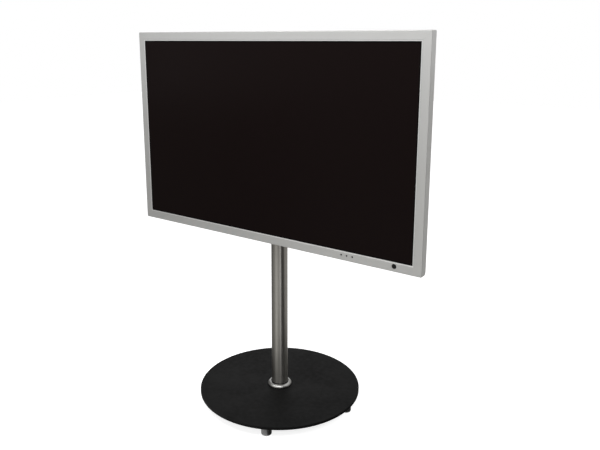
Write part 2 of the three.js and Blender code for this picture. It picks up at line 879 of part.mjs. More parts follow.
function plateScrew({ label, x, z }) {
  const head_front = plate_back_y + seat_gap;
  const head_back = head_front + plate_screw_head_height;
  const tip = head_front - plate_screw_length;
  const shank = plate_screw_diameter / 2;
  const head = plate_screw_head_diameter / 2;
  const crown = plate_screw_head_height / 2;
  const screw = turnedAlongY([
    [0, tip],
    [shank, tip],
    [shank, head_front],
    [head, head_front],
    [head, head_back - crown],
    [head - crown, head_back],
    [0, head_back],
  ], hole_sides);
  return piece(`vesa_screw_${label}`, 'zinc_steel', screw.translate(x, 0, display_height + z));
}

// Section of a frame bar: across counts outwards from the opening, and depth backwards
function barSection(width, back_radius) {
  const wall = frame_wall;
  const deep = frame_depth;
  const front = frame_front_radius;
  const outer_back = back_radius > 0
    ? arcPoints(width - back_radius, deep - back_radius, back_radius, 0, 90, arc_steps * 2)
    : [[width, deep]];
  const lip = width - Math.max(back_radius, wall) - frame_rear_lip;
  const inner_back = back_radius > 0
    ? arcPoints(width - back_radius, deep - back_radius, back_radius - wall, 90, 0, arc_steps * 2)
    : [[width - wall, deep - wall]];
  return [
    [0, frame_inner_bevel],
    [frame_inner_bevel, 0],
    ...arcPoints(width - front, front, front, -90, 0),
    ...outer_back,
    [lip, deep],
    [lip, deep - wall],
    ...inner_back,
    [width - wall, wall],
    [wall, wall],
    [wall, frame_return_depth],
    [0, frame_return_depth],
  ];
}

// A bar between two mitres. Its ends lean so that each mitre runs from inner corner to outer corner
function mitredBar(section, width, half_length, low_neighbour, high_neighbour, placed) {
  const trim = seat_gap / 2;
  const ring = (sign, neighbour) => section.map(([across, depth]) => {
    const end = half_length + (across * neighbour) / width - trim;
    return placed(sign * end, across, depth);
  });
  const cap = section.map(([across, depth]) => new THREE.Vector2(across, depth));
  return skinOver([ring(-1, low_neighbour), ring(1, high_neighbour)], cap);
}

function frameTop() {
  const bar = mitredBar(
    barSection(top_bar_width, 0),
    top_bar_width,
    opening_half_width,
    side_bar_width,
    side_bar_width,
    (along, across, depth) => new THREE.Vector3(along, depth, opening_half_height + across),
  );
  return piece('frame_top', 'silver_frame', bar);
}

// Cutter for what lies outside the frame's rounded lower back edge
function lowerEdgeCutter() {
  const radius = frame_lower_radius;
  const across = frame_depth - radius;
  const up = display_bottom + radius;
  const outline = outlineOf([
    ...arcPoints(across, up, radius, -90, 0, arc_steps * 2),
    [frame_depth + cut_over, up],
    [frame_depth + cut_over, display_bottom - cut_over],
    [across, display_bottom - cut_over],
  ]);
  return slabAlongX(outline, -display_half_width - cut_over, display_half_width + cut_over);
}

function frameSide(side) {
  const bar = mitredBar(
    barSection(side_bar_width, 0),
    side_bar_width,
    opening_half_height,
    bottom_bar_width,
    top_bar_width,
    (along, across, depth) => new THREE.Vector3(side * (opening_half_width + across), depth, along),
  );
  const label = side > 0 ? 'right' : 'left';
  return piece(`frame_${label}`, 'silver_frame', combine(bar, [], [lowerEdgeCutter()]));
}

// The bottom bar has holes in its face for the button and the three lenses
function frameBottom() {
  const bar = mitredBar(
    barSection(bottom_bar_width, frame_lower_radius),
    bottom_bar_width,
    opening_half_width,
    side_bar_width,
    side_bar_width,
    (along, across, depth) => new THREE.Vector3(along, depth, -opening_half_height - across),
  );
  const holeAt = (x, diameter) => rod(diameter + 2 * fit_gap, -cut_over, frame_wall + cut_over)
    .rotateX(-Math.PI / 2).translate(x, 0, control_z);
  const holes = [holeAt(button_place, button_diameter)];
  for (const x of lensPlaces()) holes.push(holeAt(x, lens_diameter));
  return piece('frame_bottom', 'silver_frame', combine(bar, [], holes));
}

function lensPlaces() {
  return [-1, 0, 1].map((step) => lens_place + step * lens_pitch);
}

// An L-shaped key inside each corner ties two bars together
function cornerKey(label, side, up) {
  const x = side * (display_half_width - frame_wall - seat_gap);
  const z = up > 0 ? display_top - frame_wall - seat_gap : display_bottom + frame_wall + seat_gap;
  const front = frame_wall + seat_gap;
  const outline = outlineOf([
    [0, 0],
    [-key_leg_length, 0],
    [-key_leg_length, -key_leg_width],
    [-key_leg_width, -key_leg_width],
    [-key_leg_width, -key_leg_length],
    [0, -key_leg_length],
  ].map(([across, rise]) => [x + side * across, z + up * rise]));
  return piece(`corner_key_${label}`, 'zinc_steel', slabAlongY(outline, front, front + key_thickness));
}

// A thin bright bead that slopes from the bars back to the glass, all round the screen
function screenBead() {
  const section = [
    [seat_gap, seat_gap],
    [bead_width, bead_depth - bead_back_depth],
    [bead_width, bead_depth],
    [seat_gap, bead_depth],
  ];
  const rings = [[1, 1], [-1, 1], [-1, -1], [1, -1]].map(([side, up]) => section.map(
    ([inset, depth]) => new THREE.Vector3(
      side * (opening_half_width - inset),
      depth,
      up * (opening_half_height - inset),
    ),
  ));
  return piece('screen_bead', 'bright_bead', skinOver(rings, null));
}

function screenSheet(name, finish, front, thickness) {
  const across = screen_half_width + glass_tuck;
  const up = screen_half_height + glass_tuck;
  const outline = outlineOf(roundedRectangle(-across, across, -up, up, panel_corner_radius));
  return piece(name, finish, slabAlongY(outline, front, front + thickness));
}

// Pressed steel chassis: a sheet with two ribs that carry the four threaded standoffs
function chassisPlate() {
  const across = display_half_width - chassis_inset;
  const sheet = slabAlongY(outlineOf(roundedRectangle(
    -across,
    across,
    display_bottom + chassis_inset,
    display_top - chassis_inset,
    panel_corner_radius,
  )), chassis_front, chassis_back);
  const rib_half = hole_pitch / 2 + chassis_rib_over;
  const ribs = [-1, 1].map((side) => {
    const middle = (side * hole_pitch) / 2;
    const outline = outlineOf(roundedRectangle(
      middle - chassis_rib_width / 2,
      middle + chassis_rib_width / 2,
      -rib_half,
      rib_half,
      chassis_rib_width / 2,
    ));
    return slabAlongY(outline, chassis_front, chassis_back + chassis_rib_height);
  });
  const posts = fixingPoints().map(({ x, z }) => rod(
    standoff_diameter,
    chassis_front,
    cover_inside - seat_gap,
    hole_sides,
  ).rotateX(-Math.PI / 2).translate(x, 0, z));
  const threads = fixingPoints().map(({ x, z }) => rod(
    plate_screw_diameter + 2 * fit_gap,
    chassis_back,
    cover_inside + cut_over,
    hole_sides,
  ).rotateX(-Math.PI / 2).translate(x, 0, z));
  return piece('chassis_plate', 'zinc_steel', combine(sheet, [...ribs, ...posts], threads));
}

// One ring of the back cover, drawn in from its edge
function coverRing(inset, radius, depth) {
  const side = display_half_width - cover_inset - inset;
  const low = display_bottom + frame_lower_radius + inset;
  const high = display_top - cover_inset - inset;
  return roundedRectangle(-side, side, low, high, radius).map(([x, z]) => new THREE.Vector3(x, depth, z));
}

// The back cover: a pressed pan with sloping sides, bosses for the mount, vents and a connector bay
function rearCover() {
  const flange_back = cover_front + cover_wall;
  const raised = cover_border + cover_slope;
  const outer = [
    coverRing(0, cover_edge_radius, cover_front),
    coverRing(0, cover_edge_radius, flange_back),
    coverRing(cover_border, cover_foot_radius, flange_back),
    coverRing(raised, cover_top_radius, cover_back),
  ];
  const inner = [
    coverRing(raised + cover_inner_shift, cover_top_radius, cover_inside),
    coverRing(cover_border + cover_inner_shift, cover_foot_radius, cover_front),
  ];
  const cap = outer[0].map((point) => new THREE.Vector2(point.x, point.z));
  const pan = skinOver([...inner, ...outer], cap);
  const filled = skinOver(outer, cap);
  const bay_left = bay_centre - bay_width / 2;
  const bay_right = bay_centre + bay_width / 2;
  const low = display_bottom - cut_over;
  const bay_block = shared(filled, boxBetween(
    bay_left - bay_wall,
    bay_right + bay_wall,
    cover_front,
    cover_back + cut_over,
    low,
    bay_top + bay_wall,
  ));
  const bay = boxBetween(bay_left, bay_right, bay_floor_depth, cover_back + cut_over, low, bay_top);
  const bosses = fixingPoints().map(({ x, z }) => rod(
    boss_diameter,
    cover_inside,
    display_depth,
    foot_sides,
  ).rotateX(-Math.PI / 2).translate(x, 0, z));
  const holes = fixingPoints().map(({ x, z }) => drill(plate_screw_diameter, cover_inside, display_depth)
    .rotateX(-Math.PI / 2).translate(x, 0, z));
  const windows = [[inlet_place, inlet_width], [socket_place, socket_block_width]].map(
    ([middle, width]) => boxBetween(
      middle - width / 2 - fit_gap,
      middle + width / 2 + fit_gap,
      bay_floor_depth,
      cover_inside,
      bay_top - cut_over,
      bay_top + bay_wall + cut_over,
    ),
  );
  const shell = combine(pan, [bay_block, ...bosses], [bay, ...holes, ...windows, ...ventSlots()]);
  return piece('rear_cover', 'black_plastic', shell);
}

function ventSlots() {
  const slots = [];
  for (const side of [-1, 1]) {
    for (let i = 0; i < vent_columns; i += 1) {
      const middle = side * (vent_group_start + i * vent_pitch);
      slots.push(boxBetween(
        middle - vent_width / 2,
        middle + vent_width / 2,
        cover_inside - cut_over,
        cover_back + cut_over,
        vent_middle - vent_height / 2,
        vent_middle + vent_height / 2,
      ));
    }
  }
  return slots;
}

// Depths of the connectors, between the bay's floor and the cover's back
const connector_front = bay_floor_depth + fit_gap;
const connector_back = cover_inside - fit_gap;
const connector_middle = (connector_front + connector_back) / 2;

// A two-pin mains inlet that faces down into the bay
function mainsInlet() {
  const body = boxBetween(
    inlet_place - inlet_width / 2,
    inlet_place + inlet_width / 2,
    connector_front,
    connector_back,
    bay_top,
    bay_top + inlet_height,
  );
  const half_mouth = ((connector_back - connector_front) * inlet_mouth_share) / 2;
  const mouth_outline = outlineOf(roundedRectangle(
    inlet_place - inlet_mouth_width / 2,
    inlet_place + inlet_mouth_width / 2,
    connector_middle - half_mouth,
    connector_middle + half_mouth,
    half_mouth,
  ));
  const mouth = new THREE.ExtrudeGeometry(mouth_outline, {
    depth: inlet_mouth_depth + cut_over,
    bevelEnabled: false,
  }).translate(0, 0, bay_top - cut_over);
  const pins = [-1, 1].map((side) => rod(
    inlet_pin_diameter,
    bay_top + inlet_pin_diameter,
    bay_top + inlet_height,
    hole_sides,
  ).translate(inlet_place + (side * inlet_pin_pitch) / 2, connector_middle, 0));
  const hollow = combine(body, [], [mouth]);
  return piece('mains_inlet', 'black_plastic', combine(hollow, pins, []));
}

// A row of signal sockets in one block, each with its tongue
function signalSockets() {
  const body = boxBetween(
    socket_place - socket_block_width / 2,
    socket_place + socket_block_width / 2,
    connector_front,
    connector_back,
    bay_top,
    bay_top + socket_block_height,
  );
  const mouths = [];
  const tongues = [];
  for (let i = 0; i < socket_count; i += 1) {
    const middle = socket_place + (i - (socket_count - 1) / 2) * socket_pitch;
    mouths.push(boxBetween(
      middle - socket_mouth_width / 2,
      middle + socket_mouth_width / 2,
      connector_middle - socket_mouth_height / 2,
      connector_middle + socket_mouth_height / 2,
      bay_top - cut_over,
      bay_top + socket_mouth_depth,
    ));
    tongues.push(boxBetween(
      middle - socket_tongue_width / 2,
      middle + socket_tongue_width / 2,
      connector_middle - socket_tongue_thickness / 2,
      connector_middle + socket_tongue_thickness / 2,
      bay_top + socket_tongue_thickness,
      bay_top + socket_block_height,
    ));
  }
  const hollow = combine(body, [], mouths);
  return piece('signal_sockets', 'zinc_steel', combine(hollow, tongues, []));
}

// A circuit board on four posts, with a row of blocks for its larger parts
function circuitBoard(name, left, low, width, height, part_count) {
  const post_front = chassis_back + seat_gap;
  const board_front = post_front + board_post_height;
  const board_back = board_front + board_thickness;
  const right = left + width;
  const top = low + height;
  const board = boxBetween(left, right, board_front, board_back, low, top);
  const posts = [];
  for (const x of [left + board_post_inset, right - board_post_inset]) {
    for (const z of [low + board_post_inset, top - board_post_inset]) {
      posts.push(rod(board_post_diameter, post_front, board_back, hole_sides)
        .rotateX(-Math.PI / 2).translate(x, 0, z));
    }
  }
  const strip = (width - 2 * board_post_inset) / part_count;
  const parts = Array.from({ length: part_count }, (_, i) => {
    const middle = left + board_post_inset + strip * (i + 1 / 2);
    const half_width = (strip * board_part_width_share) / 2;
    const half_length = (height * board_part_length_shares[i % 2]) / 2;
    return boxBetween(
      middle - half_width,
      middle + half_width,
      board_front,
      board_back + board_part_height,
      low + height / 2 - half_length,
      low + height / 2 + half_length,
    );
  });
  return piece(name, 'board_green', combine(board, [...posts, ...parts], []));
}

function mainBoard() {
  const low = bay_top + Math.max(inlet_height, socket_block_height) + main_board_rise;
  const left = bay_centre - main_board_width / 2;
  return circuitBoard('main_board', left, low, main_board_width, main_board_height, main_board_parts);
}

function powerBoard() {
  const left = power_board_place - power_board_width / 2;
  const low = -power_board_height / 2;
  return circuitBoard('power_board', left, low, power_board_width, power_board_height, power_board_parts);
}

// Depths of the button's pieces, from the frame's front face
const button_flange_front = frame_wall + seat_gap;
const button_flange_back = button_flange_front + button_flange_thickness;
const button_stem_end = button_flange_back + button_stem_length;
const plunger_tip = button_stem_end + button_travel + seat_gap;
const switch_front = plunger_tip + switch_plunger_length;
const switch_board_front = switch_front + switch_height;

// The push button: a crowned cap held behind the bar's face by its flange, with a stem to the switch.
// Two flats keep the flange clear of the bar's walls.
function powerButton() {
  const radius = button_diameter / 2;
  const beyond = button_flange_diameter / 2 + cut_over;
  const button = turnedAlongY([
    [0, -button_crown],
    [radius * button_crown_share, -button_crown],
    [radius, 0],
    [radius, button_flange_front],
    [button_flange_diameter / 2, button_flange_front],
    [button_flange_diameter / 2, button_flange_back],
    [button_stem_diameter / 2, button_flange_back],
    [button_stem_diameter / 2, button_stem_end],
    [0, button_stem_end],
  ], shaft_sides);
  const flats = [-1, 1].map((side) => boxBetween(
    -beyond,
    beyond,
    button_flange_front,
    button_flange_back + cut_over,
    Math.min(side * button_flange_height / 2, side * beyond),
    Math.max(side * button_flange_height / 2, side * beyond),
  ));
  const cap = combine(button, [], flats);
  return piece('power_button', 'black_plastic', cap.translate(button_place, 0, control_z));
}

// The switch on its own small board, held off the bar's face by two posts
function buttonSwitch() {
  const board_back = switch_board_front + switch_board_thickness;
  const board = boxBetween(
    -switch_board_width / 2,
    switch_board_width / 2,
    switch_board_front,
    board_back,
    -switch_board_height / 2,
    switch_board_height / 2,
  );
  const body = boxBetween(
    -switch_width / 2,
    switch_width / 2,
    switch_front,
    board_back,
    -switch_width / 2,
    switch_width / 2,
  );
  const plunger = rod(switch_plunger_diameter, plunger_tip, board_back, hole_sides).rotateX(-Math.PI / 2);
  const posts = [-1, 1].map((side) => rod(
    switch_post_diameter,
    frame_wall + seat_gap,
    board_back,
    hole_sides,
  ).rotateX(-Math.PI / 2).translate(side * switch_post_place, 0, 0));
  const whole = combine(board, [body, plunger, ...posts], []);
  return piece('button_switch', 'board_green', whole.translate(button_place, 0, control_z));
}

// Three lenses that stand in the bar's face, on one light guide behind it
function indicatorLenses() {
  const guide_front = frame_wall + seat_gap;
  const guide_back = guide_front + light_guide_thickness;
  const half = lens_pitch + light_guide_over;
  const guide = slabAlongY(outlineOf(roundedRectangle(
    lens_place - half,
    lens_place + half,
    control_z - light_guide_height / 2,
    control_z + light_guide_height / 2,
    light_guide_height / 2,
  )), guide_front, guide_back);
  const lenses = lensPlaces().map((x) => rod(lens_diameter, lens_recess, guide_back, hole_sides)
    .rotateX(-Math.PI / 2).translate(x, 0, control_z));
  return piece('indicator_lenses', 'screen_black', combine(guide, lenses, []));
}

// The stand: what rests on the floor and does not turn
const stand = new THREE.Group();
stand.add(basePlate(), column(), baseRing(), columnPlug(), baseBolt(), baseWasher());
stand.add(bearingHousing(), upperBush(), lowerBush());
footPlaces().forEach((place, index) => {
  stand.add(foot(index + 1, place), footPad(index + 1, place));
});

// The swivel head turns on the column's axis
const swivel_head = new THREE.Group();
swivel_head.add(thrustWasher(), swivelSpindle(), spindleWasher(), spindleNut(), stopPin(), yoke());
swivel_head.add(frictionDisc(-1), frictionDisc(1));

// The tilt frame hangs in the yoke and carries the display
const tilt_frame = new THREE.Group();
for (const side of [-1, 1]) tilt_frame.add(tiltLug(side), tiltBolt(side), tiltNut(side));
tilt_frame.add(mountPlate());
for (const point of fixingPoints()) tilt_frame.add(plateScrew(point));

// The display, built from its front face backwards round the screen's middle
const display = new THREE.Group();
display.add(frameTop(), frameBottom(), frameSide(-1), frameSide(1), screenBead());
display.add(
  cornerKey('upper_left', -1, 1),
  cornerKey('upper_right', 1, 1),
  cornerKey('lower_left', -1, -1),
  cornerKey('lower_right', 1, -1),
);
display.add(screenSheet('screen_glass', 'screen_black', glass_front, glass_thickness));
display.add(screenSheet('panel_module', 'black_plastic', panel_front, panel_thickness));
display.add(chassisPlate(), rearCover(), mainsInlet(), signalSockets(), mainBoard(), powerBoard());
display.add(powerButton(), buttonSwitch(), indicatorLenses());
display.position.set(0, display_front_y, display_height);

const television_stand = new THREE.Group();
television_stand.add(stand, swivel_head, tilt_frame, display);

export default television_stand;
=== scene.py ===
# %% [markdown]
# # A flat display on a column stand
#
# The measured model comes first, with every piece at its real size and place, in the groups
# that move together. What follows dresses it: round shapes where the measured ones are faceted,
# broken edges where light catches, and a finish for every surface.

# %% Load the measured model
import math
import bmesh
import bpy
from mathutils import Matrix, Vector


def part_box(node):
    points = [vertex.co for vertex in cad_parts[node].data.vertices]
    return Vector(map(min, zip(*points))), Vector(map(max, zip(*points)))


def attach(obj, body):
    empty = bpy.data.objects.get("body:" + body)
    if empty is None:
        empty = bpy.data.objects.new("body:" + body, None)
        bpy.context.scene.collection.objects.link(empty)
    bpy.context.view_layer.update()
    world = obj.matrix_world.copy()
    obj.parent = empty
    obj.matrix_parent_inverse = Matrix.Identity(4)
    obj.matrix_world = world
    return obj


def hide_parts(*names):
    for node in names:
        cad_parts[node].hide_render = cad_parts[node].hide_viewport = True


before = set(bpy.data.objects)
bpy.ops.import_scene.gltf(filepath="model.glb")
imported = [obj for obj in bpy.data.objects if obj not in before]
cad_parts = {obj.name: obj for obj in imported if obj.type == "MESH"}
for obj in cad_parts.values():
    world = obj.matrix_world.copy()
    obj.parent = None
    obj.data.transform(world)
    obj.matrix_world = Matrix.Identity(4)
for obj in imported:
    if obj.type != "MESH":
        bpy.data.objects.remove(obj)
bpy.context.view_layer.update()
MM = 0.001

# %% [markdown]
# ## Camera
#
# The picture was taken from the right, a little above the middle of the screen. Lens, place and
# turn were solved from the display's corners, the base's outline and the column's edges. The
# small shift stands for a picture that was trimmed afterwards.

# %% Place the camera
yaw = 36.577
pitch = 12.415
bpy.ops.object.select_all(action="DESELECT")
bpy.ops.object.camera_add(
    location=(1.4116, -1.8406, 1.3254),
    rotation=(math.radians(90 - pitch), 0, math.radians(yaw)),
)
camera = bpy.context.object
camera.name = "photo_view"
camera.data.sensor_width = 36
camera.data.lens = 39.872
camera.data.shift_x = 0.0175
camera.data.shift_y = -0.0650
camera.data.clip_end = 60
bpy.context.scene.camera = camera
print("camera stands", round(camera.location.length, 3), "m from the origin")

# %% [markdown]
# ## Hand tools
#
# An operator acts on whatever is selected, as a hand tool acts on what is in the vice. So every
# step first puts everything down and picks up one piece.

# %% Put down and pick up
def put_down():
    """Leaves edit mode and lets go of every piece."""
    if bpy.context.mode != "OBJECT":
        bpy.ops.object.mode_set(mode="OBJECT")
    bpy.ops.object.select_all(action="DESELECT")


def pick_up(piece):
    """Lets go of all but one piece, which the next operators act on."""
    put_down()
    piece.select_set(True)
    bpy.context.view_layer.objects.active = piece


def just_made(name):
    """The piece that the last operator made, under its name."""
    piece = bpy.context.object
    piece.name = name
    return piece


def apply_place(piece):
    """Moves a piece's place and turn into its mesh."""
    pick_up(piece)
    bpy.ops.object.transform_apply(location=True, rotation=True, scale=True)
    return piece


def open_mesh(piece):
    """Goes into the mesh of one piece, with all of it selected."""
    pick_up(piece)
    bpy.ops.object.mode_set(mode="EDIT")
    bpy.ops.mesh.select_all(action="SELECT")


print("hand tools ready")

# %% [markdown]
# ## Turning
#
# Disc, ring, column, feet, washers and screws are turned. In Blender a lathe is a circle that is
# extruded and scaled from one step of the profile to the next. A rod starts from a filled
# circle. A washer starts from an open one, and its profile comes back to its start.

# %% A lathe
def closed_up(piece):
    """Merges points that fell together and turns all faces outwards."""
    open_mesh(piece)
    bpy.ops.mesh.remove_doubles(threshold=0.002 * MM)
    bpy.ops.mesh.normals_make_consistent(inside=False)
    put_down()
    return piece


def turned(name, profile, sides=96, solid=True):
    """Turns [radius, height] steps, in metres, round the upright axis."""
    put_down()
    radius, height = profile[0]
    filling = "NGON" if solid else "NOTHING"
    bpy.ops.mesh.primitive_circle_add(
        vertices=sides, radius=radius, fill_type=filling, location=(0, 0, height)
    )
    piece = apply_place(just_made(name))
    open_mesh(piece)
    steps = profile if solid else [*profile, profile[0]]
    for (r0, z0), (r1, z1) in zip(steps, steps[1:]):
        bpy.ops.mesh.extrude_region_move(TRANSFORM_OT_translate={"value": (0, 0, z1 - z0)})
        share = r1 / r0
        bpy.ops.transform.resize(value=(share, share, 1), center_override=(0, 0, z1))
    return closed_up(piece)


def sleeve(name, bore, radius, low, high, sides=96):
    """Turns a washer or a tube with a square section."""
    steps = [(bore, low), (radius, low), (radius, high), (bore, high)]
    return turned(name, steps, sides, solid=False)


print("lathe ready")

# %% Aim a turned piece, and draw an arc
quarter = math.pi / 2
tips = {"x": (0, quarter, 0), "-x": (0, -quarter, 0), "y": (-quarter, 0, 0), "z": (0, 0, 0)}


def aimed(piece, towards, place):
    """Tips a piece made upright over to the X or Y axis, and carries it to its place."""
    piece.rotation_euler = tips[towards]
    piece.location = place
    return apply_place(piece)


def bow(centre, radius, start, end, steps=6):
    """Profile points along an arc, between two angles in degrees."""
    angles = [math.radians(start + (end - start) * i / steps) for i in range(steps + 1)]
    x, y = centre
    return [(x + radius * math.cos(angle), y + radius * math.sin(angle)) for angle in angles]


print("ways to aim a piece:", *tips)

# %% [markdown]
# ## Bars and blocks
#
# An extruded bar has one section all along. Its outline starts as a circle with as many points
# as the section has corners. Each point goes to its place, and the face is pushed out.

# %% Push out an outline
def pushed_out(name, outline, run):
    """A flat outline of 3-D points, pushed out along a straight run."""
    put_down()
    bpy.ops.mesh.primitive_circle_add(vertices=len(outline), radius=1, fill_type="NGON")
    piece = just_made(name)
    for vertex, place in zip(piece.data.vertices, outline):
        vertex.co = place
    open_mesh(piece)
    bpy.ops.mesh.extrude_region_move(TRANSFORM_OT_translate={"value": run})
    return closed_up(piece)


def sawn(piece, point, outwards):
    """Saws off all that lies beyond a plane and closes the cut."""
    open_mesh(piece)
    bpy.ops.mesh.bisect(plane_co=point, plane_no=outwards, use_fill=True, clear_outer=True)
    put_down()


print("bars ready")

# %% [markdown]
# ## Drilling, joining and breaking edges
#
# A Boolean modifier drills with a second mesh, and a Bevel modifier breaks the edges. No real
# edge is perfectly sharp, and the thin light on a broken edge makes metal look like metal.

# %% Drill and break edges
def modified(piece, kind, **settings):
    """Puts a modifier on a piece and applies it."""
    pick_up(piece)
    bpy.ops.object.modifier_add(type=kind)
    step = piece.modifiers[-1]
    for name, value in settings.items():
        setattr(step, name, value)
    bpy.ops.object.modifier_apply(modifier=step.name)
    return piece


def drilled(piece, cutter, how="DIFFERENCE"):
    """Cuts a piece with another one, which is used up."""
    modified(piece, "BOOLEAN", object=cutter, operation=how, solver="EXACT")
    bpy.data.objects.remove(cutter)
    return piece


def bored(piece, radius, low, high, place=(0, 0, 0), towards="z", sides=48):
    """Bores a round hole between two depths along an axis from a place."""
    drill = turned("drill", [(radius, low), (radius, high)], sides)
    return drilled(piece, aimed(drill, towards, place))


def edges_broken(piece, width, segments=2, angle=30):
    """Rounds every edge sharper than an angle, smooths the shading and keeps flat faces flat."""
    limit = math.radians(angle)
    modified(
        piece, "BEVEL", width=width, segments=segments, limit_method="ANGLE", angle_limit=limit
    )
    bpy.ops.object.shade_smooth_by_angle(angle=math.radians(38))
    return modified(piece, "WEIGHTED_NORMAL", keep_sharp=True)


def copied(piece, name):
    """A second piece, with a mesh of its own."""
    pick_up(piece)
    bpy.ops.object.duplicate(linked=False)
    return just_made(name)


def measured_copy(node, name):
    """A copy of a measured piece, with its loose triangles merged into whole faces."""
    piece = bpy.data.objects.new(name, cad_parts[node].data.copy())
    bpy.context.scene.collection.objects.link(piece)
    open_mesh(closed_up(piece))
    bpy.ops.mesh.dissolve_limited(angle_limit=math.radians(0.5))
    put_down()
    return piece


def handed_over(piece, body, finish, slot, *nodes):
    """Gives a finished piece its surface and its group, and hides the measured pieces it stands
    for.
    """
    apply_place(piece)
    piece.data.name = piece.name
    piece.data.materials.clear()
    piece.data.materials.append(finish)
    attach(piece, body)
    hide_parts(*nodes)
    print(f"{piece.name}: {len(piece.data.polygons)} faces, moves with {body}")


print("bench ready")

# %% [markdown]
# ## Shared effects
#
# A node group is an effect made once and used in many materials, each with its own numbers. It
# reads Object coordinates, so a pattern stays on its piece when the piece moves, and it puts out
# only a mask and a height.

# %% A way to add nodes
def add_node(tree, kind, inputs=None, **settings):
    """Adds a node with its settings. Each input gets a value, or a link from another's output."""
    node = tree.nodes.new("ShaderNode" + kind)
    for name, value in settings.items():
        setattr(node, name, value)
    for name, value in (inputs or {}).items():
        if isinstance(value, bpy.types.NodeSocket):
            tree.links.new(value, node.inputs[name])
        else:
            node.inputs[name].default_value = value
    return node


def worked_out(tree, operation, *values, kind="Math", **settings):
    """The result of a sum on numbers, vectors or outputs."""
    inputs = dict(enumerate(values))
    return add_node(tree, kind, inputs, operation=operation, **settings).outputs[0]


print("node tools ready")

# %% A way to build groups
def effect_group(name, scale, contrast=None):
    """An empty group, its inputs, and Object coordinates stretched and scaled by them."""
    group = bpy.data.node_groups.new(name, "ShaderNodeTree")
    wanted = [("Scale", "NodeSocketFloat", scale), ("Stretch", "NodeSocketVector", (1, 1, 1))]
    if contrast is not None:
        wanted.append(("Contrast", "NodeSocketFloat", contrast))
    for label, kind, value in wanted:
        socket = group.interface.new_socket(name=label, in_out="INPUT", socket_type=kind)
        socket.default_value = value
    start = group.nodes.new("NodeGroupInput").outputs
    where = add_node(group, "TexCoord").outputs["Object"]
    stretched = worked_out(group, "MULTIPLY", where, start["Stretch"], kind="VectorMath")
    inputs = {0: stretched, "Scale": start["Scale"]}
    return group, add_node(group, "VectorMath", inputs, operation="SCALE").outputs[0]


def give_out(group, mask, height):
    """Leads a mask and a height out of a group, which finishes it."""
    end = group.nodes.new("NodeGroupOutput")
    for label, value in (("Mask", mask), ("Height", height)):
        group.interface.new_socket(name=label, in_out="OUTPUT", socket_type="NodeSocketFloat")
        group.links.new(value, end.inputs[label])
    print(group.name, "has", len(group.nodes), "nodes")
    return group


print("group builder ready")

# %% [markdown]
# **Grain** is noise that a stretch can draw out into brush lines. One number per axis says how
# fast it changes that way, so small numbers for X and Y leave rings round an upright column.

# %% Grain
group, place = effect_group("grain", 100.0, 2.0)
contrast = group.nodes["Group Input"].outputs["Contrast"]
inputs = {"Vector": place, "Scale": 1, "Detail": 5, "Roughness": 0.6}
noise = add_node(group, "TexNoise", inputs).outputs["Fac"]
centred = worked_out(group, "SUBTRACT", noise, 0.5)
stronger = worked_out(group, "MULTIPLY", centred, contrast)
lines = worked_out(group, "ADD", stronger, 0.5, use_clamp=True)
grain = give_out(group, lines, lines)

# %% [markdown]
# **Orange peel** is the soft dimple of powder coat and of moulded plastic: rounded cells, mixed
# with a little noise so that they don't look drawn.

# %% Orange peel
group, place = effect_group("orange_peel", 600.0)
inputs = {"Vector": place, "Scale": 1, "Smoothness": 0.6}
cells = add_node(group, "TexVoronoi", inputs, feature="SMOOTH_F1").outputs["Distance"]
noise = add_node(group, "TexNoise", {"Vector": place, "Scale": 0.6, "Detail": 3}).outputs["Fac"]
peel = give_out(group, noise, worked_out(group, "MULTIPLY", cells, noise))

# %% [markdown]
# **Handling** is what hands and cloths leave: broad soft patches, a little duller than the rest.
# Nearly every roughness varies with it.

# %% Handling marks
group, place = effect_group("handling", 6.0)
inputs = {"Vector": place, "Scale": 1, "Detail": 2, "Distortion": 0.6}
broad = add_node(group, "TexNoise", inputs).outputs["Fac"]
fine = add_node(group, "TexNoise", {"Vector": place, "Scale": 9, "Detail": 4}).outputs["Fac"]
both = worked_out(group, "MULTIPLY", broad, fine)
spread = add_node(group, "MapRange", {"Value": both, "From Min": 0.14, "From Max": 0.42})
handling = give_out(group, spread.outputs["Result"], both)

# %% [markdown]
# ## Finishes
#
# A finish is one Principled shader. What is the same all over sits on the shader itself.
# The effects are only linked where they change something over the surface: the colour between
# two near tones, the roughness between two values, and a bump.

# %% Build a finish
def shaded(tone, share):
    """A tone made darker or lighter by a share."""
    return tuple(value * share for value in tone)


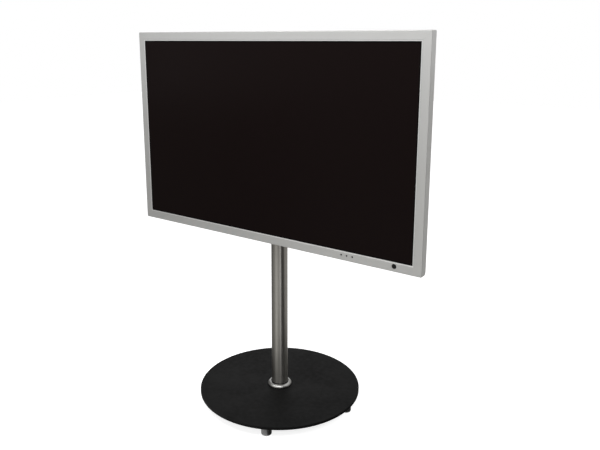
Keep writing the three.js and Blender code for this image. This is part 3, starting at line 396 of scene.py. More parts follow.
class Finish:
    """A material under construction, with its shader and the effects placed in it."""

    def __init__(self, name, colour, roughness, metallic=0.0, specular=0.5):
        self.material = bpy.data.materials.new(name)
        self.material.use_nodes = True
        self.tree = self.material.node_tree
        self.shader = self.tree.nodes["Principled BSDF"].inputs
        self.shader["Base Color"].default_value = (*colour, 1)
        self.shader["Roughness"].default_value = roughness
        self.shader["Metallic"].default_value = metallic
        self.shader["Specular IOR Level"].default_value = specular
        print("finish:", name)

    def effect(self, group, scale, stretch=(1, 1, 1), contrast=None):
        """Places a group and gives back its outputs."""
        inputs = {"Scale": scale, "Stretch": stretch}
        if contrast is not None:
            inputs["Contrast"] = contrast
        return add_node(self.tree, "Group", inputs, node_tree=group).outputs

    def tones(self, mask, low, high):
        """The colour moves between two tones, or a tone and an output, with a mask."""
        high = high if isinstance(high, bpy.types.NodeSocket) else (*high, 1)
        inputs = {"A": (*low, 1), "B": high, "Factor": mask}
        mix = add_node(self.tree, "Mix", inputs, data_type="RGBA").outputs["Result"]
        self.tree.links.new(mix, self.shader["Base Color"])
        return mix

    def gloss(self, mask, low, high):
        """The roughness moves between two values with a mask."""
        spread = add_node(self.tree, "MapRange", {"Value": mask, "To Min": low, "To Max": high})
        self.tree.links.new(spread.outputs["Result"], self.shader["Roughness"])

    def relief(self, height, strength, distance):
        """A bump from a height, in metres at full strength."""
        inputs = {"Strength": strength, "Distance": distance, "Height": height}
        bump = add_node(self.tree, "Bump", inputs)
        self.tree.links.new(bump.outputs["Normal"], self.shader["Normal"])


print("finish builder ready")

# %% [markdown]
# ### Black powder coat
#
# The base plate and the mount are powder coated: a near-black, satin, slightly dimpled skin. The
# base in the picture reflects almost nothing even at a low angle, so the shader's own mirror is
# turned well down.

# %% Powder coat
def dimpled(name, tone, roughness, scale, depth, shades, uneven, strength, patches, specular=0.5):
    """A skin of soft dimples, in two shades of its tone, with a gloss that is a little uneven."""
    finish = Finish(name, tone, roughness, specular=specular)
    dimples = finish.effect(peel, scale)
    marks = finish.effect(handling, patches)
    finish.tones(dimples["Mask"], *(shaded(tone, share) for share in shades))
    finish.gloss(marks["Mask"], roughness - uneven[0], roughness + uneven[1])
    finish.relief(dimples["Height"], strength, depth)
    return finish.material


powder = {"roughness": 0.6, "scale": 700, "depth": 0.2 * MM, "patches": 7}
powder |= {"shades": (0.82, 1.2), "uneven": (0.1, 0.06), "strength": 0.25}
base_coat = dimpled("base_powder_coat", (0.007, 0.007, 0.007), **powder, specular=0.05)
mount_coat = dimpled("mount_powder_coat", (0.016, 0.016, 0.017), **powder, specular=0.3)

# %% [markdown]
# ### Brushed and polished steel
#
# The column is stainless tube, polished by a belt that ran round it. The fine rings it left
# spread every reflection up and down, which gives the upright streaks. An anisotropic highlight,
# turned by a quarter, does this, and grain that changes quickly along the tube shows the rings.
# The ring at its foot is the same steel, fully polished.

# %% Brushed steel
def brushed_steel(name, tone, across, low, high):
    finish = Finish(name, tone, low, 1.0)
    finish.shader["Anisotropic"].default_value = 0.85
    finish.shader["Anisotropic Rotation"].default_value = 0.25
    around = add_node(finish.tree, "Tangent", direction_type="RADIAL", axis="Z")
    finish.tree.links.new(around.outputs["Tangent"], finish.shader["Tangent"])
    lines = finish.effect(grain, 900, (across, across, 1), 2.4)
    marks = finish.effect(handling, 9)
    finish.tones(lines["Mask"], shaded(tone, 0.88), tone)
    finish.gloss(marks["Mask"], low, high)
    return finish.material


column_steel = brushed_steel("column_brushed_steel", (0.33, 0.32, 0.3), 0.02, 0.32, 0.42)
foot_steel = brushed_steel("foot_turned_steel", (0.165, 0.165, 0.165), 0.05, 0.3, 0.45)

# %% Polished steel, and painted shade near the axis
tone = (0.38, 0.38, 0.37)
finish = Finish("ring_polished_steel", tone, 0.26, 1.0)
marks = finish.effect(handling, 30)
finish.gloss(marks["Mask"], 0.26, 0.36)
steel = finish.tones(marks["Mask"], tone, shaded(tone, 0.92))
# Painted shade: near the column the colour turns near-black and stops being metal, by the
# distance from the axis, so the joint reads as a dark line.
place = add_node(finish.tree, "TexCoord").outputs["Object"]
level = worked_out(finish.tree, "MULTIPLY", place, (1, 1, 0), kind="VectorMath")
reach = add_node(finish.tree, "VectorMath", {0: level}, operation="LENGTH").outputs["Value"]
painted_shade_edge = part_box("column")[1].x + 1.6 * MM
inputs = {"Value": reach, "From Min": painted_shade_edge, "From Max": painted_shade_edge + 0.2 * MM}
metal = add_node(finish.tree, "MapRange", inputs).outputs["Result"]
finish.tones(metal, (0.008, 0.008, 0.008), steel)
finish.tree.links.new(metal, finish.shader["Metallic"])
ring_steel = finish.material

# %% [markdown]
# ### Zinc, bronze, nylon and rubber
#
# Fasteners are zinc plated: a blue-grey metal with a faint mottle. Bushes are oiled bronze,
# washers are natural nylon, and the feet stand on matt rubber.

# %% Hardware finishes
def plated(name, tone):
    finish = Finish(name, tone, 0.35, 1.0)
    mottle = finish.effect(grain, 160, contrast=3.0)
    fine = finish.effect(grain, 1500, contrast=2.0)
    finish.tones(mottle["Mask"], shaded(tone, 0.8), tone)
    finish.gloss(mottle["Mask"], 0.28, 0.46)
    finish.relief(fine["Height"], 0.08, 0.03 * MM)
    return finish.material


zinc = plated("zinc_plated_steel", (0.52, 0.54, 0.55))
chassis_zinc = plated("galvanised_sheet", (0.45, 0.47, 0.48))
bronze = plated("oiled_bronze", (0.42, 0.24, 0.1))
soft = {"shades": (0.75, 1), "uneven": (0.1, 0.08), "strength": 0.3, "patches": 20}
nylon = dimpled("natural_nylon", (0.62, 0.6, 0.53), 0.5, 900, 0.05 * MM, **soft)
rubber = dimpled("matt_rubber", (0.018, 0.018, 0.018), 0.85, 500, 0.2 * MM, **soft)

# %% [markdown]
# ### Silver frame
#
# The bars are aluminium with a fine satin silver finish. It is far less of a mirror than bare
# metal, so it is mixed: half metal, rather rough, with grain too fine to see as lines.

# %% Silver frame and bright bead
def satin_silver(name, tone):
    finish = Finish(name, tone, 0.42, 0.55)
    fine = finish.effect(grain, 2600, contrast=2.2)
    marks = finish.effect(handling, 5)
    finish.tones(fine["Mask"], shaded(tone, 0.93), tone)
    finish.gloss(marks["Mask"], 0.38, 0.5)
    finish.relief(fine["Height"], 0.1, 0.03 * MM)
    return finish.material


frame_silver = satin_silver("frame_satin_silver", (0.5, 0.5, 0.491))
bead_silver = satin_silver("bead_bright_edge", (0.72, 0.72, 0.712))

# %% [markdown]
# ### The dark screen
#
# A switched-off panel is a very dark warm grey under a matt front film. A black border a few
# millimetres wide shows just inside the bead, where no picture points lie. It is drawn by how
# near a point is to the screen's edge.

# %% Screen finish
glass_low, glass_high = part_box("screen_glass")
bead_low, bead_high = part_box("screen_bead")
glass_centre = (glass_low + glass_high) / 2
bead_width = 3 * MM
border = 4 * MM
half_width = (bead_high.x - bead_low.x) / 2 - bead_width
half_height = (bead_high.z - bead_low.z) / 2 - bead_width
picture, edging = (0.0058, 0.0030, 0.0029), (0.0008, 0.0008, 0.0008)
finish = Finish("screen_switched_off", picture, 0.32, specular=0.04)
tree = finish.tree
where = add_node(tree, "TexCoord").outputs["Object"]
middle = worked_out(tree, "SUBTRACT", where, glass_centre, kind="VectorMath")
whole = worked_out(tree, "ABSOLUTE", middle, kind="VectorMath")
parts = add_node(tree, "SeparateXYZ", {0: whole}).outputs
sides = [
    worked_out(tree, "GREATER_THAN", parts[axis], half - border)
    for axis, half in (("X", half_width), ("Z", half_height))
]
finish.tones(worked_out(tree, "MAXIMUM", *sides), picture, edging)
finish.relief(finish.effect(grain, 3000, contrast=2.0)["Height"], 0.05, 0.02 * MM)
finish.gloss(finish.effect(handling, 4)["Mask"], 0.28, 0.36)
screen_dark = finish.material
print("screen:", round(half_width * 2, 4), "by", round(half_height * 2, 4), "m")

# %% [markdown]
# ### Plastics and circuit boards
#
# The back cover is textured black plastic, the button smooth and satin, and the lenses glossy.
# The boards inside are green with a faint pattern of tracks, from a brick texture.

# %% Plastics
mould = {"shades": (0.8, 1), "uneven": (0.08, 0.06), "strength": 0.35, "patches": 6}
mould["specular"] = 0.35
cover_black = dimpled(
    "cover_textured_plastic", (0.028, 0.028, 0.029), 0.58, 900, 0.25 * MM, **mould
)
inner_black = dimpled("inner_black_plastic", (0.012, 0.012, 0.012), 0.5, 1200, 0.1 * MM, **mould)
lens_black = dimpled("smoked_lens", (0.006, 0.006, 0.007), 0.16, 2000, 0.01 * MM, **mould)
mould["specular"] = 0.15
button_black = dimpled("button_satin_black", (0.005, 0.005, 0.005), 0.3, 1500, 0.01 * MM, **mould)

# %% Circuit boards
finish = Finish("circuit_board", (0.02, 0.1, 0.05), 0.4)
where = add_node(finish.tree, "TexCoord").outputs["Object"]
inputs = {"Vector": where, "Scale": 160, "Mortar Size": 0.06}
tracks = add_node(finish.tree, "TexBrick", inputs).outputs["Fac"]
finish.tones(tracks, (0.012, 0.085, 0.035), (0.05, 0.2, 0.09))
finish.relief(tracks, 0.2, 0.1 * MM)
board_green = finish.material

# %% [markdown]
# ## The round base
#
# The base is a steel disc with broken edges and five blind threaded holes beneath for the feet.
# Its turned profile gives the bore for the column's bolt in the same go.

# %% Turn the base plate
seat = 0.3 * MM
bolt_bore = 8.3 * MM
stud_bore = 5.3 * MM
foot_numbers = range(1, 6)
plate_low, plate_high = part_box("base_plate")
base = sleeve("base_disc", bolt_bore, plate_high.x, plate_low.z, plate_high.z, sides=256)
foot_places = []
for number in foot_numbers:
    low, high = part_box(f"foot_{number}")
    foot_places.append(((low.x + high.x) / 2, (low.y + high.y) / 2, 0))
stud_low, stud_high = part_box("foot_1")
for place in foot_places:
    bored(base, stud_bore, plate_low.z - 3 * MM, stud_high.z + 0.7 * MM, place)
edges_broken(base, 1.2 * MM, 4)
handed_over(base, "stand", base_coat, "black_steel", "base_plate")

# %% [markdown]
# ## Levelling feet
#
# Each foot is a turned steel button on a threaded stud, with a rubber pad let into its
# underside. One is turned, and the other four are copies with meshes of their own. The thread
# is a row of fine ridges, which shows when a foot is screwed out.

# %% Turn one foot and copy it
def five_of(first, name, finish, slot, node):
    """Copies a finished piece four times, and gives each foot one."""
    pieces = [first, *(copied(first, f"{name}_{number}") for number in foot_numbers[1:])]
    for number, piece, place in zip(foot_numbers, pieces, foot_places):
        piece.location = place
        handed_over(piece, f"levelling_foot_{number}", finish, slot, f"{node}_{number}")


radius = (stud_high.x - stud_low.x) / 2
low, top = 2 * MM, plate_low.z - seat
edge, recess, chamfer = 4.5 * MM, 11.3 * MM, 1 * MM
crest, valley, pitch = 5 * MM, 4.4 * MM, 1.5 * MM
profile = [(recess, low + 3 * MM), (recess, low)]
profile += bow((radius - edge, low + edge), edge, -90, 0, 8)
profile += [(radius, top - chamfer), (radius - chamfer, top), (crest, top)]
height = top
while height + pitch < stud_high.z - chamfer:
    profile += [(valley, height + pitch / 2), (crest, height + pitch)]
    height += pitch
first_foot = turned("foot_button_1", [*profile, (4.2 * MM, stud_high.z)], sides=72)
edges_broken(first_foot, 0.25 * MM, angle=40)
five_of(first_foot, "foot_button", foot_steel, "zinc_steel", "foot")

# %% Turn one pad and copy it
pad_steps = [(7, 0), (10.4, 0), (11, 0.6), (11, 4.7), (2, 4.7), (2, 0.8), (6.4, 0.8)]
first_pad = turned(
    "foot_rubber_1", [(radius * MM, height * MM) for radius, height in pad_steps], 72, solid=False
)
edges_broken(first_pad, 0.2 * MM)
five_of(first_pad, "foot_rubber", rubber, "rubber", "foot_pad")

# %% [markdown]
# ## Column and ring
#
# The column is a plain tube, and the ring round its foot hides the joint. In the picture the
# ring's front is bright over its whole height, so it is a low crown with a steep rim, undercut
# below its widest line. A polished form is all reflection, so it gets plenty of steps. A thin
# bead in the ring's profile fills the joint, and its dark line is painted shade: the finish turns
# from steel to near-black by the distance from the axis.

# %% Turn the column
tube_wall = 2.5 * MM
tube_low, tube_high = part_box("column")
tube_radius = tube_high.x
column = sleeve(
    "column_tube", tube_radius - tube_wall, tube_radius, tube_low.z, tube_high.z, sides=160
)
edges_broken(column, 0.4 * MM, 3)
handed_over(column, "stand", column_steel, "brushed_steel", "column")

# %% Turn the ring
ring_low, ring_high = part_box("base_ring")
ring_outer = ring_high.x
ring_inner = tube_radius + seat
rim = (ring_outer, ring_low.z + 2.4 * MM)
shoulder = (ring_outer - 0.8 * MM, ring_low.z + 9.8 * MM)
neck = (ring_inner + 4.1 * MM, ring_low.z + 11.6 * MM)
lip = ring_inner + 0.9 * MM
crown = []
crown_steps = 16
for step in range(crown_steps + 1):
    share = step / crown_steps
    crown.append(tuple(
        (1 - share) ** 2 * low + 2 * share * (1 - share) * mid + share ** 2 * high
        for low, mid, high in zip(rim, shoulder, neck)
    ))
ring = turned("column_ring", [
    (ring_inner, ring_low.z),
    (ring_outer - 2.2 * MM, ring_low.z),
    *crown,
    (neck[0] - 0.5 * MM, neck[1] - 0.6 * MM),
    (neck[0] - 1.4 * MM, neck[1] - 3.6 * MM),
    (lip, neck[1] - 3.6 * MM),
    (lip, neck[1] + 2.4 * MM),
    (ring_inner, neck[1] + 3.0 * MM),
], sides=192, solid=False)
edges_broken(ring, 0.3 * MM, 3, 50)
handed_over(ring, "stand", ring_steel, "polished_steel", "base_ring")

# %% [markdown]
# ## Under the base
#
# One large bolt with a wide washer holds the column. A hexagon head has a round chamfer where
# the lathe took the corners off, so it is a hexagon that is cut with a turned cone.

# %% Hexagon heads and nuts
def prism(name, corner, low, high):
    """A six-sided bar between two heights, its corners this far from the axis."""
    put_down()
    bpy.ops.mesh.primitive_cylinder_add(
        vertices=6, radius=corner, depth=high - low, location=(0, 0, (low + high) / 2)
    )
    return apply_place(just_made(name))


def hexagon(name, flats, low, high):
    """A hexagon with its corners turned off at both ends."""
    corner = flats / math.sqrt(3)
    face = flats / 2 * 0.97
    wide = corner * 1.02
    drop = (corner - face) * 0.55
    steps = [(face, low), (wide, low + drop), (wide, high - drop), (face, high)]
    cone = turned("chamfer", steps, sides=72)
    return drilled(prism(name, corner, low, high), cone, "INTERSECT")


bolt_low, bolt_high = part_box("base_bolt")
head_height = 10 * MM
base_bolt = hexagon("column_bolt", 24 * MM, bolt_low.z, bolt_low.z + head_height)
middle, end = bolt_low.z + head_height / 2, bolt_high.z
steps = [(8 * MM, middle), (8 * MM, end - 1 * MM), (7 * MM, end)]
drilled(base_bolt, turned("shank", steps, sides=48), "UNION")
edges_broken(base_bolt, 0.25 * MM)
handed_over(base_bolt, "stand", zinc, "zinc_steel", "base_bolt")

# %% Washer
washer_low, washer_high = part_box("base_washer")
base_washer = sleeve("column_washer", bolt_bore, 25 * MM, washer_low.z, washer_high.z)
edges_broken(base_washer, 0.4 * MM)
handed_over(base_washer, "stand", zinc, "zinc_steel", "base_washer")

# %% [markdown]
# ## Swivel head
#
# A bearing housing plugs the column's top, a spindle turns in its two bushes, and a folded yoke
# sits on it. The housing and the yoke are copies of the measured pieces with their edges broken.
# The nylon washer and the spindle are turned.

# %% Bearing housing
def softened_copy(node, name, body, finish, slot, width, segments=2):
    """A copy of a measured piece with broken edges, handed over."""
    piece = edges_broken(measured_copy(node, name), width, segments, angle=35)
    handed_over(piece, body, finish, slot, node)


softened_copy("bearing_housing", "swivel_housing", "stand", zinc, "zinc_steel", 0.4 * MM)

# %% Thrust washer
thrust_low, thrust_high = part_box("thrust_washer")
thrust = sleeve("slip_washer", 10.3 * MM, thrust_high.x, thrust_low.z, thrust_high.z)
edges_broken(thrust, 0.3 * MM)
handed_over(thrust, "swivel_head", nylon, "nylon", "thrust_washer")

# %% Spindle
def socketed(screw, corner, depth, top):
    """Sinks a hexagon socket into a head. The cutter stands as far above it as below."""
    return drilled(screw, prism("key", corner, top - depth, top + depth))


spindle_low, spindle_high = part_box("swivel_spindle")
step_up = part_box("spindle_washer")[1].z + seat
head_low = spindle_high.z - 6 * MM
spindle = turned("swivel_pin", [
    (7 * MM, spindle_low.z), (8 * MM, spindle_low.z + 1 * MM),
    (8 * MM, step_up), (10 * MM, step_up),
    (10 * MM, head_low), (17 * MM, head_low),
    (17 * MM, spindle_high.z - 1 * MM), (16 * MM, spindle_high.z),
], sides=72)
socketed(spindle, 7 * MM, 4 * MM, spindle_high.z)
edges_broken(spindle, 0.3 * MM, angle=35)
handed_over(spindle, "swivel_head", zinc, "zinc_steel", "swivel_spindle")

# %% Yoke and friction discs
softened_copy("yoke", "tilt_fork", "swivel_head", mount_coat, "black_steel", 0.7 * MM, 3)
pivot_bore = 5.3 * MM
for hand in ("left", "right"):
    low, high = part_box(f"friction_disc_{hand}")
    disc = sleeve(f"slip_disc_{hand}", pivot_bore, 16 * MM, 0, high.x - low.x, sides=72)
    edges_broken(disc, 0.25 * MM)
    aimed(disc, "x", (low.x, 0, (low.z + high.z) / 2))
    handed_over(disc, "swivel_head", nylon, "nylon", f"friction_disc_{hand}")

# %% [markdown]
# ## Tilt pivot and mounting plate
#
# Two lugs on the plate's back hang between the yoke's ears, each on its own bolt with a nut
# inside. Lugs and plate are copies of the measured pieces with their edges broken, because
# sheet metal has just these forms: flat, bent and drilled.

# %% Lugs and plate
on_display = ("display", mount_coat, "black_steel", 0.5 * MM)
for hand in ("left", "right"):
    softened_copy(f"tilt_lug_{hand}", f"pivot_lug_{hand}", *on_display)
softened_copy("mount_plate", "carrier_plate", *on_display)

# %% Tilt bolts and nuts
def hung_on_pivot(piece, node, hand):
    """Breaks a piece's edges and lays it on the tilt axis, its upper end outwards."""
    low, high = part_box(node)
    away, start = ("x", low.x) if hand == "right" else ("-x", high.x)
    edges_broken(piece, 0.2 * MM)
    aimed(piece, away, (start, 0, (low.z + high.z) / 2))
    handed_over(piece, "display", zinc, "zinc_steel", node)


pivot_flats = 17 * MM
for hand in ("left", "right"):
    low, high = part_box(f"tilt_bolt_{hand}")
    length = high.x - low.x
    bolt = hexagon(f"pivot_bolt_{hand}", pivot_flats, length - 6.4 * MM, length)
    steps = [(4.4 * MM, 0), (5 * MM, 0.8 * MM), (5 * MM, length - 3 * MM)]
    drilled(bolt, turned("shank", steps, sides=48), "UNION")
    hung_on_pivot(bolt, f"tilt_bolt_{hand}", hand)
    nut = hexagon(f"pivot_nut_{hand}", pivot_flats, 0, 8 * MM)
    bored(nut, pivot_bore, -1 * MM, 9 * MM)
    hung_on_pivot(nut, f"tilt_nut_{hand}", hand)

# %% Screws of the mounting plate
corners = ("upper_left", "upper_right", "lower_left", "lower_right")
for corner in corners:
    low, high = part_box(f"vesa_screw_{corner}")
    length = high.y - low.y
    under_head = length - 5 * MM
    dome = 2.4 * MM
    screw = turned(f"plate_screw_{corner}", [
        (3.4 * MM, 0),
        (4 * MM, 0.8 * MM),
        (4 * MM, under_head),
        (7 * MM, under_head),
        *bow((7 * MM - dome, length - dome), dome, 0, 90),
    ], sides=64)
    socketed(screw, 2.9 * MM, 3 * MM, length)
    edges_broken(screw, 0.15 * MM, angle=35)
    aimed(screw, "y", ((low.x + high.x) / 2, low.y, (low.z + high.z) / 2))
    handed_over(screw, "display", zinc, "zinc_steel", f"vesa_screw_{corner}")

# %% [markdown]
# ## The display's frame
#
# Four extruded bars meet in mitres. Each is a channel: a face, an outer wall with a lip for the
# back cover, and a short return behind the screen's bead. It is pushed out longer than it needs
# to be and sawn off along each mitre, as on a real bench.

# %% Where the frame's edges lie
top_low, top_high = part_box("frame_top")
under_low, under_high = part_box("frame_bottom")
right_low, right_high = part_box("frame_right")
frame_front = top_low.y
frame_depth = top_high.y - top_low.y
inner_x, outer_x = right_low.x, right_high.x
inner_top, outer_top = top_low.z, top_high.z
inner_under, outer_under = under_high.z, under_low.z
back_rounding, overrun = 14 * MM, 20 * MM
print("frame:", round(outer_x * 2, 4), "wide,", round(outer_top - outer_under, 4), "high")

# %% Draw a bar's section
def bar_section(width, back_radius):
    """Points of the channel: across from the screen outwards, and depth from the front."""
    wall, front, lip, slope, fold = 2 * MM, 2.5 * MM, 4 * MM, 0.6 * MM, 8 * MM
    points = [(0, slope), (slope, 0)]
    points += bow((width - front, front), front, -90, 0, 8)
    if back_radius:
        middle = (width - back_radius, frame_depth - back_radius)
        edge = middle[0] - lip
        points += bow(middle, back_radius, 0, 90, 14)
        points += [(edge, frame_depth), (edge, frame_depth - wall)]
        points += bow(middle, back_radius - wall, 90, 0, 14)
    else:
        edge = width - wall - lip
        points += [(width, frame_depth), (edge, frame_depth)]
        points += [(edge, frame_depth - wall), (width - wall, frame_depth - wall)]
    return [*points, (width - wall, wall), (wall, wall), (wall, fold), (0, fold)]


print("the upper bar's channel has", len(bar_section(outer_top - inner_top, 0)), "corners")

# %% Push out and saw the level bars
def mitre(piece, side, inner_z, outer_z, away):
    """Saws a bar along the line between two corners of the frame, and rounds its point."""
    inner = Vector((side * inner_x, 0, inner_z))
    outer = Vector((side * outer_x, 0, outer_z))
    along = (outer - inner).normalized()
    across = along.cross(Vector((0, 1, 0)))
    if across.dot(Vector(away)) < 0:
        across = -across
    joint, rounding = 0.08 * MM, 4 * MM
    sawn(piece, inner - across * joint, across)
    up = math.copysign(1, along.z)
    centre = outer - Vector((side, 0, up)) * rounding
    for degrees in (22.5, 45, 67.5):
        turn = math.radians(degrees)
        facing = Vector((side * math.cos(turn), 0, up * math.sin(turn)))
        sawn(piece, centre + facing * rounding, facing)


def level_bar(name, inner_z, outer_z, back_radius):
    up = 1 if outer_z > inner_z else -1
    section = bar_section(abs(outer_z - inner_z), back_radius)
    reach = outer_x + overrun
    outline = [(-reach, frame_front + depth, inner_z + up * across) for across, depth in section]
    piece = pushed_out(name, outline, (2 * reach, 0, 0))
    for side in (1, -1):
        mitre(piece, side, inner_z, outer_z, (side, 0, 0))
    return closed_up(piece)


def into_frame(bar, node):
    """Breaks a bar's edges and hands it over."""
    edges_broken(bar, 0.25 * MM, angle=35)
    handed_over(bar, "display", frame_silver, "silver_frame", node)


into_frame(level_bar("bezel_top", inner_top, outer_top, 0), "frame_top")

# %% [markdown]
# The lower bar is drilled for the button and for three small lenses. The holes are a hair wider
# than what stands in them, which leaves the fine dark line round a real button.

# %% Lower bar with its holes
bar_under = level_bar("bezel_bottom", inner_under, outer_under, back_rounding)
button_low, button_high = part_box("power_button")
button_x, _, control_z = (button_low + button_high) / 2
cap_radius = (button_high.z - button_low.z) / 2
guide_end = 7 * MM
lens_low, lens_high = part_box("indicator_lenses")
lens_middle = (lens_low.x + lens_high.x) / 2
lens_pitch = (lens_high.x - lens_low.x) / 2 - guide_end
lens_places = [lens_middle - lens_pitch, lens_middle, lens_middle + lens_pitch]
lens_radius = 2.8 * MM
for x, radius in [(button_x, cap_radius), *((x, lens_radius) for x in lens_places)]:
    place = (x, frame_front, control_z)
    bored(bar_under, radius + 0.3 * MM, -4 * MM, 4 * MM, place, "y", sides=64)
into_frame(bar_under, "frame_bottom")

# %% Upright bars, rounded at the lower back corner
def upright_bar(name, side):
    section = bar_section(outer_x - inner_x, 0)
    low = outer_under - overrun
    outline = [
        (side * (inner_x + across), frame_front + depth, low) for across, depth in section
    ]
    piece = pushed_out(name, outline, (0, 0, outer_top + overrun - low))
    mitre(piece, side, inner_top, outer_top, (0, 0, 1))
    mitre(piece, side, inner_under, outer_under, (0, 0, -1))
    closed_up(piece)
    y = frame_front + frame_depth - back_rounding
    z = outer_under + back_rounding
    beyond = 10 * MM
    behind = y + back_rounding + beyond
    beneath = z - back_rounding - beyond
    corner = bow((y, z), back_rounding, -90, 0, 14)
    corner += [(behind, z), (behind, beneath), (y, beneath)]
    start = side * (inner_x - beyond)
    outline = [(start, y, z) for y, z in corner]
    return drilled(piece, pushed_out("corner", outline, (side * 50 * MM, 0, 0)))


for side, hand in ((-1, "left"), (1, "right")):
    into_frame(upright_bar(f"bezel_{hand}", side), f"frame_{hand}")

# %% [markdown]
# ## Bead and screen
#
# A thin bright bead slopes from the bars back to the screen. It is a plane with its middle inset
# and pushed back, then given a thickness. The screen is a sheet with its edge under the bead.

# %% Bead
put_down()
place = (glass_centre.x, bead_low.y, glass_centre.z)
bpy.ops.mesh.primitive_plane_add(size=1, location=place, rotation=(quarter, 0, 0))
bead = just_made("screen_edge_bead")
bead.scale = (bead_high.x - bead_low.x, bead_high.z - bead_low.z, 1)
bead_sheet = 0.6 * MM
open_mesh(apply_place(bead))
bpy.ops.mesh.inset(thickness=bead_width - 0.3 * MM)
bpy.ops.transform.translate(value=(0, 0.3 * MM, 0))
bpy.ops.mesh.delete(type="FACE")
modified(bead, "SOLIDIFY", thickness=bead_sheet, offset=-1)
edges_broken(closed_up(bead), bead_sheet / 4)
handed_over(bead, "display", bead_silver, "bright_bead", "screen_bead")

# %% Screen
def block(name, middle, size):
    """A box, finished at its place."""
    put_down()
    bpy.ops.mesh.primitive_cube_add(size=1, location=middle)
    piece = just_made(name)
    piece.scale = size
    return apply_place(piece)


screen = block("screen_front", glass_centre, glass_high - glass_low)
edges_broken(screen, 0.5 * MM)
handed_over(screen, "display", screen_dark, "screen_glass", "screen_glass")

# %% [markdown]
# ## Button and lenses
#
# The power button is a satin black cap with a shallow dish in its face. Its flange is milled
# flat above and below, to fit between the bar's walls. The three lenses are small domes on one
# light guide, hidden behind the bar.

# %% Power button
cap_front = button_low.y
cap_length = button_high.y - cap_front
flange_radius = (button_high.x - button_low.x) / 2
button = turned("push_button", [
    (0.16 * cap_radius, 0.5 * MM), (0.5 * cap_radius, 0.32 * MM),
    (0.78 * cap_radius, 0.02 * MM), (0.92 * cap_radius, 0.1 * MM),
    (cap_radius, 0.7 * MM), (cap_radius, 2.9 * MM),
    (flange_radius, 2.9 * MM), (flange_radius, 4.4 * MM),
    (2.5 * MM, 4.4 * MM), (2.5 * MM, cap_length),
], sides=72)
for up in (1, -1):
    size = (3 * flange_radius, 4 * MM, 2 * MM)
    drilled(button, block("flat", (0, up * 9.5 * MM, 3.9 * MM), size))
edges_broken(button, 0.12 * MM, angle=40)
aimed(button, "y", (button_x, cap_front, control_z))
handed_over(button, "button", button_black, "black_plastic", "power_button")

# %% Lenses on their light guide
guide_back = lens_high.y - frame_front
guide = measured_copy("indicator_lenses", "lens_row")
sawn(guide, (0, frame_front + 2.3 * MM, 0), (0, -1, 0))
for x in lens_places:
    lens = turned("lens", [
        (1.1 * MM, 0.25 * MM), (2.0 * MM, 0.35 * MM), (2.6 * MM, 0.6 * MM),
        (lens_radius, 0.95 * MM), (lens_radius, guide_back - 0.5 * MM),
    ], sides=48)
    drilled(guide, aimed(lens, "y", (x, frame_front, control_z)), "UNION")
edges_broken(guide, 0.1 * MM, angle=40)
handed_over(guide, "display", lens_black, "lens_black", "indicator_lenses")

# %% [markdown]
# ## Back of the display
#
# The back cover is a moulded pan with sloping sides, vents, four bosses for the mount and a bay
# for the sockets. The measured piece has all of these, so its copy only gets rounded edges.

# %% Back cover and sockets
softened_copy("rear_cover", "back_cover", "display", cover_black, "black_plastic", 0.6 * MM)
softened_copy("mains_inlet", "power_inlet", "display", inner_black, "black_plastic", 0.3 * MM)
softened_copy("signal_sockets", "socket_row", "display", zinc, "zinc_steel", 0.2 * MM)

# %% [markdown]
# ## Pieces kept as measured
#
# Inner pieces are never seen whole, and their measured form is right as it is. Each still gets a
# finish, for when the model is taken apart.

# %% Finishes for the measured pieces
corner_keys = [f"corner_key_{corner}" for corner in corners]
kept_finishes = [
    (zinc, ["column_plug", "spindle_washer", "spindle_nut", "stop_pin", *corner_keys]),
    (bronze, ["upper_bush", "lower_bush"]),
    (inner_black, ["panel_module"]),
    (chassis_zinc, ["chassis_plate"]),
    (board_green, ["main_board", "power_board", "button_switch"]),
]
for finish, names in kept_finishes:
    for name in names:
        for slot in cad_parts[name].material_slots:
            slot.material = finish
    print(finish.name, "on", *names)

# %% [markdown]
# ## Floor
#
# The background is plain white, with only a breath of shadow under the base. The floor adds a
# little light of its own for the camera and for mirrors, so it reads as white while the shadow
# still darkens it.

# %% Paints that give light
def seen_directly(tree):
    """1 for what the camera sees, also in mirrors and through glass, and 0 for the rest."""
    ray = add_node(tree, "LightPath").outputs
    looked_at = worked_out(tree, "MAXIMUM", ray["Is Camera Ray"], ray["Is Glossy Ray"])
    return worked_out(tree, "MAXIMUM", looked_at, ray["Is Transmission Ray"])


def bare_paint(name):
    """A material without its shader, and the input that its new surface goes to."""
    paint = bpy.data.materials.new(name)
    paint.use_nodes = True
    nodes = paint.node_tree.nodes
    nodes.remove(nodes["Principled BSDF"])
    return paint, paint.node_tree, nodes["Material Output"].inputs["Surface"]


print("paint tools ready")

# %% Floor
put_down()
bpy.ops.mesh.primitive_plane_add(size=24, location=(0, 0, -0.5 * MM))
floor = just_made("studio_floor")
floor_white, tree, surface = bare_paint("floor_white")
matt = add_node(tree, "BsdfDiffuse", {"Color": (0.8, 0.8, 0.8, 1)}).outputs[0]
lift = worked_out(tree, "MULTIPLY", seen_directly(tree), 0.83)
glow = add_node(tree, "Emission", {"Strength": lift}).outputs[0]
tree.links.new(add_node(tree, "AddShader", {0: matt, 1: glow}).outputs[0], surface)
floor.data.materials.append(floor_white)
print("floor laid")

# %% [markdown]
# ## Light
#
# Light comes mostly from above and from the right, so the upper bar and the frame's right end
# are palest. The world is white to the camera and to mirrors, and a softer grey to all else.

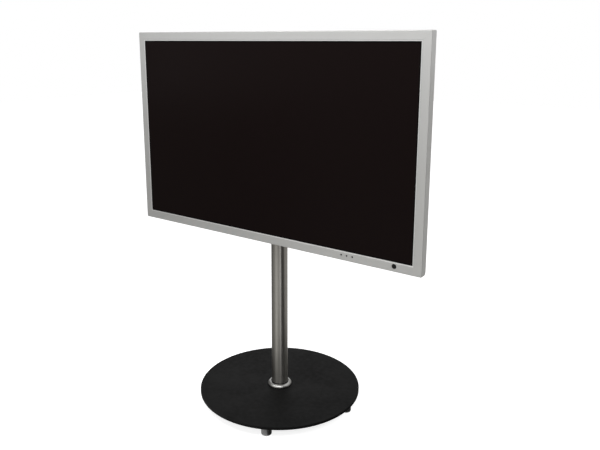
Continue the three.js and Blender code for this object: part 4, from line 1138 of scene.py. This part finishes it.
# %% World
world = bpy.data.worlds.new("studio")
bpy.context.scene.world = world
world.use_nodes = True
sky = world.node_tree
fill = sky.nodes["Background"]
fill.inputs["Color"].default_value = (1, 1, 1, 1)
fill.inputs["Strength"].default_value = 0.45
white = add_node(sky, "Background", {"Color": (1, 1, 1, 1), "Strength": 1})
choice = {"Fac": seen_directly(sky), 1: fill.outputs[0], 2: white.outputs[0]}
shown = add_node(sky, "MixShader", choice).outputs[0]
sky.links.new(shown, sky.nodes["World Output"].inputs["Surface"])
print("world set")

# %% Lamps
def softbox(name, place, aim, width, height, power):
    """A large soft lamp that looks at a point."""
    put_down()
    direction = Vector(aim) - Vector(place)
    bpy.ops.object.light_add(type="AREA", location=place)
    lamp = just_made(name)
    lamp.rotation_euler = direction.to_track_quat("-Z", "Y").to_euler()
    lamp.data.shape = "RECTANGLE"
    lamp.data.size = width
    lamp.data.size_y = height
    lamp.data.energy = power


softbox("top_light", (0.05, -1.0, 2.3), (0.0, 0, 0.95), 2.6, 1.0, 27)
softbox("right_light", (2.3, -0.35, 2.2), (0.3, 0, 1.1), 0.5, 0.8, 10.5)

# %% [markdown]
# ## Flags
#
# Bright metal shows only what stands round it. In the picture the column has a dark band, a
# thin bright line and a grey half, so dark and grey cards stand here. Each lies on the floor and
# then stands up, in an arc round the stand. The low ones change only what the column's foot and
# the ring mirror. Only mirrors see the cards, so they take no light from the object.

# %% A way to make flags
def seen_in_mirrors(card, tone):
    """Gives a card a plain warm grey that only glossy rays see."""
    paper, tree, surface = bare_paint(card.name)
    shine = add_node(tree, "Emission", {"Color": (tone, tone * 0.985, tone * 0.95, 1)})
    tree.links.new(shine.outputs[0], surface)
    card.data.materials.append(paper)
    for ray in ("camera", "diffuse", "shadow", "transmission"):
        setattr(card, "visible_" + ray, False)


def flag(name, start, end, tone, height, radius=1.6):
    """A bent card between two bearings, in degrees from +X, seen only in mirrors."""
    put_down()
    inner_edge, lift = 0.32, 2 * MM
    centre = (0, 0, height / 2 + lift)
    bpy.ops.mesh.primitive_cylinder_add(
        vertices=180, radius=radius, depth=height, end_fill_type="NOTHING", location=centre
    )
    card = apply_place(just_made(name))
    open_mesh(card)
    mesh = bmesh.from_edit_mesh(card.data)
    middle = math.radians((start + end) / 2)
    half = math.radians((end - start) / 2)
    for face in mesh.faces:
        place = face.calc_center_median()
        bearing = math.atan2(place.y, place.x)
        face.select_set(abs(math.remainder(bearing - middle, 2 * math.pi)) > half)
    bmesh.update_edit_mesh(card.data)
    bpy.ops.mesh.delete(type="FACE")
    bpy.ops.mesh.select_mode(type="EDGE")
    bpy.ops.mesh.select_all(action="DESELECT")
    mesh = bmesh.from_edit_mesh(card.data)
    for edge in mesh.edges:
        edge.select_set(all(vertex.co.z < 5 * lift for vertex in edge.verts))
    bmesh.update_edit_mesh(card.data)
    bpy.ops.mesh.extrude_region_move()
    share = inner_edge / radius
    bpy.ops.transform.resize(value=(share, share, 1), center_override=(0, 0, 0))
    bpy.ops.mesh.select_mode(type="VERT")
    put_down()
    seen_in_mirrors(card, tone)
    print(f"{name}: {end - start} degrees wide, tone {tone}")


# %% Flags round the stand, then the low ones
flag("flag_right", -33, 18, 0.16, 2.4)
flag("flag_behind", 18, 110, 0.55, 1.2)
flag("flag_left", 150, 206, 0.26, 2.4)
flag("flag_front_left", 206, 240, 0.45, 1.0)
flag("flag_front", 240, 282, 0.8, 1.0)
flag("flag_front_right", 282, 310, 0.55, 1.0)
flag("low_flag_right", 330, 378, 0.02, 0.24, radius=0.8)
flag("low_flag_front", 252, 276, 1.2, 0.16, radius=0.6)
flag("low_flag_behind", 378, 428, 0.02, 0.08, radius=0.42)

# %% [markdown]
# The feet mirror the few centimetres of floor next to them. They are dark on their right side,
# so a dark grey card lies there, with its edge through the front of the nearest foot.

# %% Card on the floor beside the feet
put_down()
foot_middle = (stud_low + stud_high) / 2
card_size, card_reach = 0.5, 0.2552
bearing = math.radians(yaw)
place = foot_middle + Vector((math.cos(bearing), math.sin(bearing), 0)) * card_reach
bpy.ops.mesh.primitive_plane_add(
    size=card_size, location=(place.x, place.y, 3 * MM), rotation=(0, 0, bearing)
)
foot_card = apply_place(just_made("foot_card"))
seen_in_mirrors(foot_card, 0.1)
print("foot card beside", [round(value, 3) for value in foot_middle])

# %% [markdown]
# ## View transform
#
# Colours go out through the Standard view transform.

# %% Set the view transform
put_down()
bpy.context.scene.view_settings.view_transform = "Standard"
